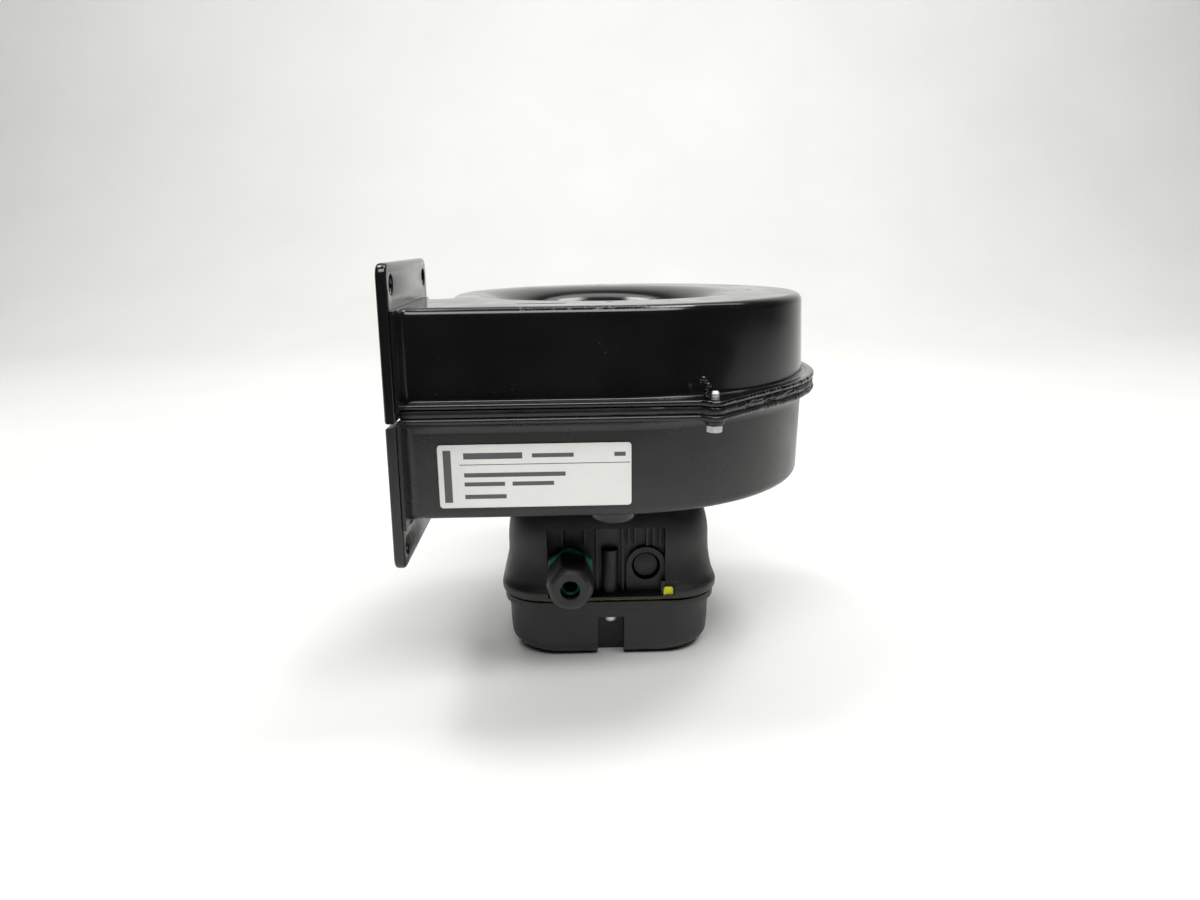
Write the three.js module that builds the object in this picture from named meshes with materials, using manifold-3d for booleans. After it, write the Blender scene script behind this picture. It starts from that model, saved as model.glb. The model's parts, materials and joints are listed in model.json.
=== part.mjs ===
// Single-inlet centrifugal combustion fan: a two-part scroll housing of drawn sheet steel with a bolted
// outlet flange, a forward-curved impeller on an external-rotor motor, and a plastic terminal box under it.
// Millimetres, +Z up. The origin is where the impeller axis meets the plane that the terminal box stands on.
// The inlet faces +Z, the outlet flange faces -X and the cable gland faces -Y.
import * as THREE from "three";
import { mergeVertices } from "three/addons/utils/BufferGeometryUtils.js";
import Module from "manifold-3d";

const wasm = await Module();
wasm.setup();

// ---------- driving dimensions ----------
const GAP = 0.3; // kept between pieces that touch
const degrees = (angle) => (angle * Math.PI) / 180;

// Scroll plan: three arcs about their own centres, then a straight duct to the flange.
const ARC_NEAR = { x: 1.5, y: 0, r: 110 }; // from -Y round to +X
const ARC_FAR = { x: 14.5, y: 0, r: 97 }; // from +X round to +Y
const ARC_TONGUE = { x: 14.5, y: -4, r: 101 }; // from +Y round to the duct's far wall
const DUCT_FAR_Y = -38.5;
const SHEET = 1.5;
const DRAFT = 1.4; // how far each drawn wall leans in over its height
const EDGE_R = 4.5; // drawn edge between a wall and its end plate
const ARC_STEPS = 9;

// Heights.
const HOUSING_BOTTOM = 98.5;
const HOUSING_TOP = 198.5;
const LOWER_RIM = [146.2, 149];
const GASKET_Z = [149.3, 152.9];
const UPPER_RIM = [153.2, 155.9];
const RIM_WIDTH = 6.8;
const RIM_FILLET_R = 6.8; // from the lower wall out to the underside of its rim
const FILLET_START = LOWER_RIM[0] - RIM_FILLET_R;
const EAR_BOTTOM = 144.2; // the lower shell is thicker around each seam screw
const GASKET_INSET = 0.7; // leaves the two rims' edges proud of it
const BOSS = { x: 0.5, y: -89, r: 11.5, depth: 6.8 }; // hollow foot pressed out of the lower end plate

// Outlet flange, welded to the shells in two halves.
const FLANGE_X = -102.5; // outer face
const FLANGE_T = 5;
const FLANGE_Y = [-124, -18];
const FLANGE_Z = [79, 219];
const FLANGE_SPLIT = [146.8, 148.6];
const FLANGE_CORNER_R = 6;
const BOLT_R = 4;
const BOLT_INSET = 9.8;
const SHELL_END_X = FLANGE_X + FLANGE_T + GAP;
const DUCT_MOUTH_Y = [-107, -41];
const DUCT_MOUTH_Z = [100, 197];
const LIP_BEND_R = 4; // where a duct wall turns out to lie on the flange
const LIP_ENDS_Y = [-123.5, -24.5];

// Inlet.
const THROAT_R = 50;
const BELL_WIDTH = 26; // the flare is a quarter of an ellipse
const BELL_HEIGHT = 18.5;
const BELL_END_Z = 176;
const INLET_SEGMENTS = 36;
const GUARD_CIRCLE_R = 83;
const GUARD_HOLE_R = 1.7;
const GUARD_HOLE_ANGLES = [-90, 0, 90].map(degrees);
const TOP_GROOVE = { x: [-45, -20], y: [-90, -87], depth: 0.8 };

// Seam screws stand in round ears, beside the corners where two tangents to the rim meet.
const LUG_HALF_ANGLE = degrees(23.75);
const LUGS = [
  { arc: ARC_NEAR, angle: degrees(-66.25) },
  { arc: ARC_FAR, angle: degrees(45) },
  { arc: ARC_TONGUE, angle: degrees(135) },
];
const SCREW_BEFORE_CORNER = degrees(2.3);
const SCREW_BEYOND_WALL = 13.5;
const EAR_R = 6;
const EAR_FOOT_R = 4.6; // below the rim
const LUG_OVERLAP = 6; // how far a lug's plan reaches back into the rim
const TONGUE_SCREW = { x: -90.5, y: -29 };
const SCREW_R = 2;
const SCREW_HOLE_R = 2.3;
const SCREW_HEAD_AF = 7;
const SCREW_HEAD_H = 3.2;
const SEAM_SCREW_TOP = 159.8;

// Impeller.
const BLADES = 36;
const WHEEL_SEGMENTS = 48;
const BLADE_IN_R = 50;
const BLADE_OUT_R = 59.4;
const BLADE_T = 0.9;
const BLADE_SWEEP = 0.16; // forward sweep of the tip, in radians
const WHEEL_BOTTOM = 114;
const WHEEL_TOP = 174;

// Motor.
const ROTOR_R = 43.5;
const ROTOR_BOTTOM = 106;
const ROTOR_TOP = 155;
const CORE_Z = [113, 143];
const SHAFT_R = 4;
const BEARING = { inner: 4.15, innerRing: 5.6, outerRing: 9.4, outer: 10.9, width: 7 };
const BALL = { r: 1.7, pitchR: 7.5, count: 7 };
const LOWER_BEARING_Z = 101.5;
const UPPER_BEARING_Z = 137;
const TUBE_R = 13.6;
const MOTOR_PLATE_Z = [95.8, 98.2];
const MOTOR_PLATE_R = 76;
const MOTOR_OPENING_R = 63;
const PLATE_SCREW_CIRCLE_R = 69;
const LEAD_HOLE = { r: 3.5, y: 20 };
const BOX_SCREW_X = 30;
const BOX_SCREW_PLACES = [-BOX_SCREW_X, BOX_SCREW_X];

// Terminal box.
const COVER_TOP = 34.2;
const SEAL_Z = [34.5, 35.7];
const BODY_BOTTOM = 36;
const BODY_TOP = 89;
const BODY_LEVELS = [ // [half width, height]
  [60, BODY_BOTTOM], [60.4, 37.5], [60.4, 40.5], [58.6, 45], [56.7, 56], [56.1, 71], [53.2, 81.5],
  [45.5, BODY_TOP],
];
const COVER_LEVELS = [
  [46, 0], [51, 1.7], [54.6, 5.5], [56.2, 11], [57, 28.5], [59, 30.6], [59, COVER_TOP],
];
const NECK_R = 46;
const NECK_SEGMENTS = 32;
const BOX_WALL = 2.5;
const BOX_CORNER_R = 25;
const PANEL_Y = -49; // recessed front panel that carries the cable entries
const PANEL_X = [-34.2, 30];
const PANEL_Z = [37.6, 75];
const GLAND_X = -21.8; // the two cable entries
const BLANK_X = 19.8;
const ENTRY_Z = 52.3;
const GLAND_BOSS_OUT = 6.9; // how far the bosses around the entries stand out of the panel
const BLANK_BOSS_OUT = 3.4;
const ENTRY_BOSS_R = 10.8;
const BLANK_HOLE_R = 7.9;
const BLANK_DISC_R = 6.7;
const BLANK_DISC_SUNK = 2.4; // how far the disc lies behind the face of its boss
const SHORT_RIB_X = [-26, -13.5, 10.5, 14, 20.5, 24, 27.5]; // ribs under the recess's top edge
const LONG_RIB_X = [-7, 7]; // ribs beside the screw post
const RIB_T = 1.2;
const RIB_OUT = 3.5;
const RIB_BOTTOM = 64;
const POST_Y = -50.5;
const POST_PLACES = [POST_Y, -POST_Y];
const POST_R = 4.6;
const POST_TOP = 62;
const POST_PILOT_R = 1.9;
const NOTCH_HALF = 7.3;
const NOTCH_TOP = 24.3;
const NOTCH_Y = -44;
const SEAL_HALF = [53.5, 58.6];
const SEAL_TAB = { x: [29, 34.2], y: [-59.2, -58], top: 42.5 };
const TAB_WINDOW_BOTTOM = 38.2;

// Cable gland, M16 with 22 mm flats on its dome nut.
const GLAND_FLATS = 22;
const GLAND_TURN = degrees(-9); // how far the nut stands from having two corners level
const GLAND_HEX_FLATS = 24;
const GLAND_HEX_H = 4;
const GLAND_THREAD_R = 7.8;
const GLAND_BORE_R = 5.6;
const GLAND_MOUTH_R = 5;
const GLAND_DOME_R = 10.6;
const GLAND_FACE_R = 9.3;
const GLAND_FRONT_Y = -86;

// Parts inside the terminal box.
const CAPACITOR = { r: 13.5, x: [-31, 25], y: 18, z: 21 };
const TERMINALS = { x: [-32, 12], y: [-32, -16], z: [44, 62], count: 4 };
const LEAD_R = 1.1;

// Type plate on the near wall of the lower shell.
const LABEL = { x: [-82, 8.5], z: [104.8, 135.6], t: 0.4 };

// ---------- making solids ----------
// A closed three.js geometry as a manifold-3d solid, with its faces pointing out.
function solid(geometry) {
  const bare = geometry.index ? geometry.toNonIndexed() : geometry.clone();
  bare.deleteAttribute("normal");
  bare.deleteAttribute("uv");
  const merged = mergeVertices(bare, 1e-4);
  const corners = merged.index.array;
  const kept = [];
  for (let i = 0; i < corners.length; i += 3) {
    const [a, b, c] = [corners[i], corners[i + 1], corners[i + 2]];
    if (a !== b && b !== c && a !== c) kept.push(a, b, c);
  }
  const build = (triVerts) =>
    new wasm.Manifold(
      new wasm.Mesh({
        numProp: 3,
        vertProperties: merged.attributes.position.array,
        triVerts,
      }),
    );
  const made = build(new Uint32Array(kept));
  if (made.volume() > 0) return made;
  for (let i = 0; i < kept.length; i += 3) [kept[i + 1], kept[i + 2]] = [kept[i + 2], kept[i + 1]];
  return build(new Uint32Array(kept));
}

function geometryOf(made) {
  const mesh = made.getMesh();
  const positions = new Float32Array(mesh.numVert * 3);
  for (let i = 0; i < mesh.numVert; i++) {
    positions.set(mesh.vertProperties.subarray(i * mesh.numProp, i * mesh.numProp + 3), i * 3);
  }
  const geometry = new THREE.BufferGeometry();
  geometry.setAttribute("position", new THREE.BufferAttribute(positions, 3));
  geometry.setIndex(new THREE.BufferAttribute(new Uint32Array(mesh.triVerts), 1));
  return geometry;
}

const join = (...solids) => solids.reduce((a, b) => a.add(b));
const cut = (from, ...tools) => tools.reduce((a, b) => a.subtract(b), from);

function arc(cx, cy, r, from, to, steps) {
  const points = [];
  for (let i = 0; i <= steps; i++) {
    const a = from + ((to - from) * i) / steps;
    points.push(new THREE.Vector2(cx + r * Math.cos(a), cy + r * Math.sin(a)));
  }
  return points;
}

function ring(cx, cy, r, steps) {
  return arc(cx, cy, r, 0, 2 * Math.PI, steps).slice(0, -1);
}

// An outline extruded from z0 to z1.
function prism(points, z0, z1, holes = []) {
  const shape = new THREE.Shape(points);
  shape.holes = holes.map((hole) => new THREE.Path(hole));
  const geometry = new THREE.ExtrudeGeometry(shape, { depth: z1 - z0, bevelEnabled: false });
  return solid(geometry.translate(0, 0, z0));
}

// Outlines of equal point counts, one above another, skinned into a solid.
function loft(levels) {
  const count = levels[0].points.length;
  const positions = [];
  for (const { points, z } of levels) for (const p of points) positions.push(p.x, p.y, z);
  const index = [];
  for (let level = 0; level < levels.length - 1; level++) {
    for (let i = 0; i < count; i++) {
      const a = level * count + i;
      const b = level * count + ((i + 1) % count);
      index.push(a, b, b + count, a, b + count, a + count);
    }
  }
  const last = (levels.length - 1) * count;
  for (const [a, b, c] of THREE.ShapeUtils.triangulateShape(levels[0].points, [])) index.push(a, c, b);
  for (const [a, b, c] of THREE.ShapeUtils.triangulateShape(levels[levels.length - 1].points, [])) {
    index.push(last + a, last + b, last + c);
  }
  const geometry = new THREE.BufferGeometry();
  geometry.setAttribute("position", new THREE.Float32BufferAttribute(positions, 3));
  geometry.setIndex(index);
  return solid(geometry);
}

// A profile of [radius, height] pairs turned about the Z axis.
function turned(profile, segments = 28) {
  const points = profile.map(([r, z]) => new THREE.Vector2(r, z));
  return solid(new THREE.LatheGeometry(points, segments).rotateX(Math.PI / 2));
}

// A tube's wall between two radii.
function tube(inner, outer, z0, z1, segments = 28) {
  const profile = [[inner, z0], [outer, z0], [outer, z1], [inner, z1], [inner, z0]];
  return turned(profile, segments);
}

function rod(r, z0, z1, segments = 20) {
  return turned([[0, z0], [r, z0], [r, z1], [0, z1]], segments);
}

function box(x, y, z) {
  const geometry = new THREE.BoxGeometry(x[1] - x[0], y[1] - y[0], z[1] - z[0]);
  return solid(geometry.translate((x[0] + x[1]) / 2, (y[0] + y[1]) / 2, (z[0] + z[1]) / 2));
}

function hexagon(flats, turn = 0) {
  const r = flats / Math.sqrt(3);
  return ring(0, 0, r, 6).map((p) => p.rotateAround(new THREE.Vector2(), turn));
}

const hexBar = (flats, z0, z1, turn) => prism(hexagon(flats, turn), z0, z1);
const at = (made, x, y, z = 0) => made.translate([x, y, z]);
// Lays a solid that was made about Z along Y, with its +Z end towards -Y, at a cable entry.
const alongEntry = (made, x) => made.rotate([90, 0, 0]).translate([x, 0, ENTRY_Z]);

const counterClockwise = (points) => (THREE.ShapeUtils.area(points) < 0 ? points.reverse() : points);

// ---------- scroll outlines ----------
// The housing's plan outline, moved outwards by offset, with its duct cut off at endX.
function scrollOutline(offset, endX) {
  const farY = DUCT_FAR_Y + offset;
  const tongueR = ARC_TONGUE.r + offset;
  const tongueAngle = Math.PI - Math.asin((farY - ARC_TONGUE.y) / tongueR);
  return [
    new THREE.Vector2(endX, -ARC_NEAR.r - offset),
    ...arc(ARC_NEAR.x, ARC_NEAR.y, ARC_NEAR.r + offset, -Math.PI / 2, 0, ARC_STEPS),
    ...arc(ARC_FAR.x, ARC_FAR.y, ARC_FAR.r + offset, 0, Math.PI / 2, ARC_STEPS).slice(1),
    ...arc(ARC_TONGUE.x, ARC_TONGUE.y, tongueR, Math.PI / 2, tongueAngle, ARC_STEPS).slice(1),
    new THREE.Vector2(endX, farY),
  ];
}

const scroll = (levels, endX) =>
  loft(levels.map(([offset, z]) => ({ points: scrollOutline(offset, endX), z })));

// Levels of a drawn wall from its rim to the rounded edge at its end plate; sign is +1 if it goes up.
function drawnWall(rimZ, startZ, endZ, inset, edgeR, sign) {
  const levels = [[-inset, startZ], [-inset, rimZ]];
  for (let step = 0; step <= 2; step++) {
    const a = (step * Math.PI) / 4;
    levels.push([-inset - DRAFT - edgeR * (1 - Math.cos(a)), endZ - sign * edgeR * (1 - Math.sin(a))]);
  }
  return sign > 0 ? levels : levels.reverse();
}

// The concave turn from the lower wall out to its rim, as [offset, height] levels from the wall upwards.
function rimFillet() {
  const levels = [];
  for (let step = 0; step <= 3; step++) {
    const a = (step * Math.PI) / 6;
    levels.push([RIM_FILLET_R * (1 - Math.cos(a)), LOWER_RIM[0] - RIM_FILLET_R * (1 - Math.sin(a))]);
  }
  return levels;
}

function lugOutline({ arc: base, angle }, offset) {
  const r = base.r + offset;
  const point = (radius, a) =>
    new THREE.Vector2(base.x + radius * Math.cos(a), base.y + radius * Math.sin(a));
  return [
    point(base.r - LUG_OVERLAP, angle),
    point(r, angle - LUG_HALF_ANGLE),
    point(r / Math.cos(LUG_HALF_ANGLE), angle),
    point(r, angle + LUG_HALF_ANGLE),
  ];
}

const seamScrewPlaces = [
  ...LUGS.map(({ arc: base, angle }) => ({
    x: base.x + (base.r + SCREW_BEYOND_WALL) * Math.cos(angle - SCREW_BEFORE_CORNER),
    y: base.y + (base.r + SCREW_BEYOND_WALL) * Math.sin(angle - SCREW_BEFORE_CORNER),
  })),
  TONGUE_SCREW,
];
const ears = (r, z0, z1) => seamScrewPlaces.map(({ x, y }) => prism(ring(x, y, r, 16), z0, z1));

// The rim's full plan, with lugs and ears, as a plate from z0 to z1; inset shrinks it all round.
function rimPlate(inset, z0, z1) {
  const offset = RIM_WIDTH - inset;
  const plate = scroll([[offset, z0], [offset, z1]], SHELL_END_X);
  const lugs = LUGS.map((lug) => prism(lugOutline(lug, offset), z0, z1));
  return join(plate, ...lugs, ...ears(EAR_R - inset, z0, z1));
}

const seamHoles = (z0, z1) => seamScrewPlaces.map(({ x, y }) => at(rod(SCREW_HOLE_R, z0, z1, 10), x, y));

// Lips at the duct's end, where each side wall bends out to lie on the flange.
function ductLips(z0, z1) {
  const x0 = SHELL_END_X;
  const x1 = x0 + SHEET;
  const inside = DRAFT + 0.8; // the bend's root reaches past the leaning wall
  const bend = (wallY, side) => [
    ...arc(x1 + LIP_BEND_R, wallY + side * LIP_BEND_R, LIP_BEND_R, Math.PI, (1 + side / 2) * Math.PI, 4),
    new THREE.Vector2(x1 + LIP_BEND_R, wallY - side * inside),
    new THREE.Vector2(x0 + 0.2, wallY - side * inside),
    new THREE.Vector2(x0 + 0.2, wallY + side * LIP_BEND_R),
  ];
  const near = -ARC_NEAR.r;
  return join(
    box([x0, x1], [LIP_ENDS_Y[0], near + 1], [z0, z1]),
    prism(counterClockwise(bend(near, -1)), z0, z1),
    box([x0, x1], [DUCT_FAR_Y - 1, LIP_ENDS_Y[1]], [z0, z1]),
    prism(counterClockwise(bend(DUCT_FAR_Y, 1)), z0, z1),
  );
}

// ---------- housing ----------
const CUT_END_X = FLANGE_X - 10; // cutting tools run past the flange

// The bell mouth as two turned solids: all that lies within its back, and the air passage within its face.
function inletBell() {
  const centreZ = HOUSING_TOP - BELL_HEIGHT;
  const outerR = THROAT_R + BELL_WIDTH;
  const over = 0.4; // the profiles cross the end plate's faces, so that no two faces lie in one plane
  const flare = (inset) => arc(0, 0, 1, Math.PI, Math.PI / 2, 5).slice(0, -1).map((p) =>
    [outerR + (BELL_WIDTH - inset) * p.x, centreZ + (BELL_HEIGHT - inset) * p.y]);
  const within = turned([
    [0, BELL_END_Z],
    [THROAT_R + SHEET, BELL_END_Z],
    ...flare(SHEET),
    [outerR, HOUSING_TOP - SHEET + over],
    [0, HOUSING_TOP - SHEET + over],
  ], INLET_SEGMENTS);
  const passage = turned([
    [0, BELL_END_Z - 1],
    [THROAT_R, BELL_END_Z - 1],
    ...flare(0),
    [outerR, HOUSING_TOP + over],
    [0, HOUSING_TOP + over],
  ], INLET_SEGMENTS);
  return { within, passage };
}

function upperScrollShell() {
  const outer = scroll(
    drawnWall(UPPER_RIM[1], UPPER_RIM[0], HOUSING_TOP, 0, EDGE_R, 1),
    SHELL_END_X,
  );
  const inside = scroll(
    drawnWall(UPPER_RIM[1], UPPER_RIM[0] - 5, HOUSING_TOP - SHEET, SHEET, EDGE_R - SHEET, 1),
    CUT_END_X,
  );
  const bell = inletBell();
  const cavity = cut(inside, bell.within);
  const guardHoles = GUARD_HOLE_ANGLES.map((a) => {
    const hole = rod(GUARD_HOLE_R, HOUSING_TOP - 3, HOUSING_TOP + 1, 8);
    return at(hole, GUARD_CIRCLE_R * Math.cos(a), GUARD_CIRCLE_R * Math.sin(a));
  });
  const groove = box(TOP_GROOVE.x, TOP_GROOVE.y, [HOUSING_TOP - TOP_GROOVE.depth, HOUSING_TOP + 1]);
  const lips = ductLips(UPPER_RIM[0], HOUSING_TOP - EDGE_R);
  return cut(join(outer, lips, rimPlate(0, ...UPPER_RIM)), cavity, bell.passage, groove,
    ...guardHoles, ...seamHoles(UPPER_RIM[0] - 1, UPPER_RIM[1] + 1));
}

function lowerScrollShell() {
  const wall = drawnWall(FILLET_START, FILLET_START, HOUSING_BOTTOM, 0, EDGE_R, -1).slice(0, -2);
  const outer = scroll([...wall, ...rimFillet(), [RIM_WIDTH, LOWER_RIM[1]]], SHELL_END_X);
  const cavity = scroll(
    drawnWall(FILLET_START, LOWER_RIM[1] + 2, HOUSING_BOTTOM + SHEET, SHEET, EDGE_R - SHEET, -1),
    CUT_END_X,
  );
  const rim = join(rimPlate(0, ...LOWER_RIM), ...ears(EAR_FOOT_R, EAR_BOTTOM, LOWER_RIM[1] - 0.5));
  const lips = ductLips(HOUSING_BOTTOM + EDGE_R, LOWER_RIM[1]);
  const bossOuter = turned([
    [0, HOUSING_BOTTOM - BOSS.depth],
    [BOSS.r - 3, HOUSING_BOTTOM - BOSS.depth],
    [BOSS.r - 0.6, HOUSING_BOTTOM - BOSS.depth + 2.2],
    [BOSS.r, HOUSING_BOTTOM - 1.4],
    [BOSS.r, HOUSING_BOTTOM + 1],
    [0, HOUSING_BOTTOM + 1],
  ], 16);
  const bossInner = turned([
    [0, HOUSING_BOTTOM - BOSS.depth + SHEET],
    [BOSS.r - 3.8, HOUSING_BOTTOM - BOSS.depth + SHEET],
    [BOSS.r - 2.1, HOUSING_BOTTOM - BOSS.depth + 3],
    [BOSS.r - SHEET, HOUSING_BOTTOM - 1.2],
    [BOSS.r - SHEET, HOUSING_BOTTOM + 3],
    [0, HOUSING_BOTTOM + 3],
  ], 16);
  const shell = cut(join(outer, rim, lips, at(bossOuter, BOSS.x, BOSS.y)), cavity);
  const through = [HOUSING_BOTTOM - 1, HOUSING_BOTTOM + 3];
  return cut(shell, at(bossInner, BOSS.x, BOSS.y), rod(MOTOR_OPENING_R, ...through, 36),
    ...plateScrewPlaces.map(({ x, y }) => at(rod(SCREW_HOLE_R, ...through, 12), x, y)),
    ...seamHoles(EAR_BOTTOM - 1, LOWER_RIM[1] + 1));
}

function seamGasket() {
  const band = rimPlate(GASKET_INSET, ...GASKET_Z);
  const inside = scroll([[-SHEET, LOWER_RIM[1]], [-SHEET, UPPER_RIM[0]]], CUT_END_X);
  return cut(band, inside, ...seamHoles(LOWER_RIM[1], UPPER_RIM[0]));
}

// Half of the outlet flange: a plate in the YZ plane with a mouth open towards the seam.
function flangeHalf(upper) {
  const [z0, z1] = upper ? [FLANGE_SPLIT[1], FLANGE_Z[1]] : [FLANGE_Z[0], FLANGE_SPLIT[0]];
  const endZ = upper ? z1 : z0;
  const sign = upper ? 1 : -1;
  const seamZ = upper ? z0 : z1;
  const mouthZ = upper ? DUCT_MOUTH_Z[1] : DUCT_MOUTH_Z[0];
  const r = FLANGE_CORNER_R;
  // A rounded corner from the side edge at y to the end edge; inwards is the way from y into the plate.
  const corner = (y, inwards) => arc(0, 0, r, 0, Math.PI / 2, 4).map((p) =>
    new THREE.Vector2(y + inwards * (r - p.x), endZ - sign * (r - p.y)));
  const outline = [
    new THREE.Vector2(FLANGE_Y[0], seamZ),
    ...corner(FLANGE_Y[0], 1),
    ...corner(FLANGE_Y[1], -1).reverse(),
    new THREE.Vector2(FLANGE_Y[1], seamZ),
    new THREE.Vector2(DUCT_MOUTH_Y[1], seamZ),
    new THREE.Vector2(DUCT_MOUTH_Y[1], mouthZ),
    new THREE.Vector2(DUCT_MOUTH_Y[0], mouthZ),
    new THREE.Vector2(DUCT_MOUTH_Y[0], seamZ),
  ];
  const boltZ = endZ - sign * BOLT_INSET;
  const bolts = [FLANGE_Y[0] + BOLT_INSET, FLANGE_Y[1] - BOLT_INSET].map((y) => ring(y, boltZ, BOLT_R, 16));
  const plate = prism(counterClockwise(outline), 0, FLANGE_T, bolts);
  // The outline's x runs along world Y, its y along Z and the thickness along X.
  return plate.rotate([90, 0, 90]).translate([FLANGE_X, 0, 0]);
}

function hexScrew({ x, y }, headZ, tipZ) {
  return at(join(hexBar(SCREW_HEAD_AF, headZ, headZ + SCREW_HEAD_H, Math.PI / 6),
    rod(SCREW_R, headZ + SCREW_HEAD_H - 0.2, tipZ, 12)), x, y);
}

// ---------- impeller ----------
// A thin forward-curved blade section. The wheel turns clockwise seen from the inlet, so tips lean that way.
function bladeOutline(turn) {
  const steps = 2;
  const side = (shift) => {
    const points = [];
    for (let i = 0; i <= steps; i++) {
      const t = i / steps;
      const r = BLADE_IN_R + t * (BLADE_OUT_R - BLADE_IN_R);
      const a = turn - BLADE_SWEEP * t * t + shift / r;
      points.push(new THREE.Vector2(r * Math.cos(a), r * Math.sin(a)));
    }
    return points;
  };
  return [...side(-BLADE_T / 2), ...side(BLADE_T / 2).reverse()];
}

function impellerBladeBand() {
  const low = WHEEL_BOTTOM + 1.5;
  const high = WHEEL_TOP - 1.5;
  const hoop = (z0, z1) => tube(BLADE_IN_R - 0.4, BLADE_OUT_R + 0.4, z0, z1, WHEEL_SEGMENTS);
  const blades = Array.from({ length: BLADES }, (_, i) =>
    prism(bladeOutline((i * 2 * Math.PI) / BLADES), low + 0.5, high - 0.5));
  return join(hoop(low, low + 0.9), hoop(high - 0.9, high), ...blades);
}

// ---------- motor ----------
const plateScrewPlaces = [0, 1, 2, 3].map((i) => {
  const a = ((2 * i + 1) * Math.PI) / 4;
  return { x: PLATE_SCREW_CIRCLE_R * Math.cos(a), y: PLATE_SCREW_CIRCLE_R * Math.sin(a) };
});

function rotorCan() {
  const wall = 1.8;
  return turned([
    [ROTOR_R - wall, ROTOR_BOTTOM],
    [ROTOR_R, ROTOR_BOTTOM],
    [ROTOR_R, ROTOR_TOP - 5],
    [ROTOR_R - 5, ROTOR_TOP],
    [8, ROTOR_TOP],
    [7.5, ROTOR_TOP + 2],
    [SHAFT_R + GAP, ROTOR_TOP + 2],
    [SHAFT_R + GAP, ROTOR_TOP - 6],
    [8, ROTOR_TOP - 6],
    [8, ROTOR_TOP - wall],
    [ROTOR_R - 6, ROTOR_TOP - wall],
    [ROTOR_R - wall, ROTOR_TOP - 6],
    [ROTOR_R - wall, ROTOR_BOTTOM],
  ], 32);
}

function statorCore() {
  const slots = 12;
  const slot = prism([
    new THREE.Vector2(20, -3),
    new THREE.Vector2(31, -5.5),
    new THREE.Vector2(32.5, -1),
    new THREE.Vector2(36, -1),
    new THREE.Vector2(36, 1),
    new THREE.Vector2(32.5, 1),
    new THREE.Vector2(31, 5.5),
    new THREE.Vector2(20, 3),
  ], CORE_Z[0] - 1, CORE_Z[1] + 1);
  const tools = Array.from({ length: slots }, (_, i) => slot.rotate([0, 0, (i * 360) / slots]));
  return cut(tube(TUBE_R + GAP, 34.5, ...CORE_Z, 36), ...tools);
}

// The die-cast support: a disc on the motor plate and the tube that holds both bearings.
function statorCarrier() {
  const seatR = BEARING.outer + GAP;
  const top = UPPER_BEARING_Z + BEARING.width + 0.5;
  const foot = MOTOR_PLATE_Z[1] + GAP;
  return turned([
    [6.5, foot],
    [40, foot],
    [40, foot + 3],
    [TUBE_R + 2, foot + 5],
    [TUBE_R, foot + 8],
    [TUBE_R, top],
    [seatR, top],
    [seatR, UPPER_BEARING_Z - GAP],
    [8.2, UPPER_BEARING_Z - GAP],
    [8.2, LOWER_BEARING_Z + BEARING.width + GAP],
    [seatR, LOWER_BEARING_Z + BEARING.width + GAP],
    [seatR, LOWER_BEARING_Z - GAP],
    [6.5, LOWER_BEARING_Z - GAP],
    [6.5, foot],
  ], 24);
}

function motorPlate() {
  const through = [MOTOR_PLATE_Z[0] - 1, MOTOR_PLATE_Z[1] + 1];
  const screwHole = rod(SCREW_HOLE_R, ...through, 12);
  const screwHoles = [...plateScrewPlaces, ...BOX_SCREW_PLACES.map((x) => ({ x, y: 0 }))];
  return cut(rod(MOTOR_PLATE_R, ...MOTOR_PLATE_Z, 36), rod(6.5, ...through, 20),
    at(rod(LEAD_HOLE.r, ...through, 12), 0, LEAD_HOLE.y),
    ...screwHoles.map(({ x, y }) => at(screwHole, x, y)));
}

function ballCage(z) {
  const middle = z + BEARING.width / 2;
  const cage = tube(BALL.pitchR - 0.6, BALL.pitchR + 0.6, middle - 1.1, middle + 1.1, 20);
  const ball = solid(new THREE.SphereGeometry(BALL.r, 5, 4));
  const placed = Array.from({ length: BALL.count }, (_, i) =>
    ball.translate([BALL.pitchR, 0, middle]).rotate([0, 0, (i * 360) / BALL.count]));
  return join(cage, ...placed);
}

const endWinding = (z0, z1) => turned([
  [17.5, z0],
  [30.5, z0],
  [31.8, z0 + (z1 - z0) * 0.4],
  [29.5, z1],
  [19, z1],
  [16.6, z0 + (z1 - z0) * 0.5],
  [17.5, z0],
], 24);

// ---------- terminal box ----------
function roundedSquare(half, r) {
  const c = half - r;
  const steps = 4;
  return [
    ...arc(c, -c, r, -Math.PI / 2, 0, steps),
    ...arc(c, c, r, 0, Math.PI / 2, steps),
    ...arc(-c, c, r, Math.PI / 2, Math.PI, steps),
    ...arc(-c, -c, r, Math.PI, 1.5 * Math.PI, steps),
  ];
}

// Levels of [half width, height], with the same corner radius at each.
const cushion = (levels, inset = 0) =>
  loft(levels.map(([half, z]) => ({ points: roundedSquare(half - inset, BOX_CORNER_R - inset), z })));

// The boss around a cable entry: round above, with straight sides down to the panel's lower edge.
function entryBoss(x, out) {
  const bottom = PANEL_Z[0] - 0.5 - ENTRY_Z;
  const outline = [
    ...arc(0, 0, ENTRY_BOSS_R, 0, Math.PI, 12),
    new THREE.Vector2(-ENTRY_BOSS_R, bottom),
    new THREE.Vector2(ENTRY_BOSS_R, bottom),
  ];
  return alongEntry(prism(outline, -PANEL_Y - 0.5, -PANEL_Y + out), x);
}

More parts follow.
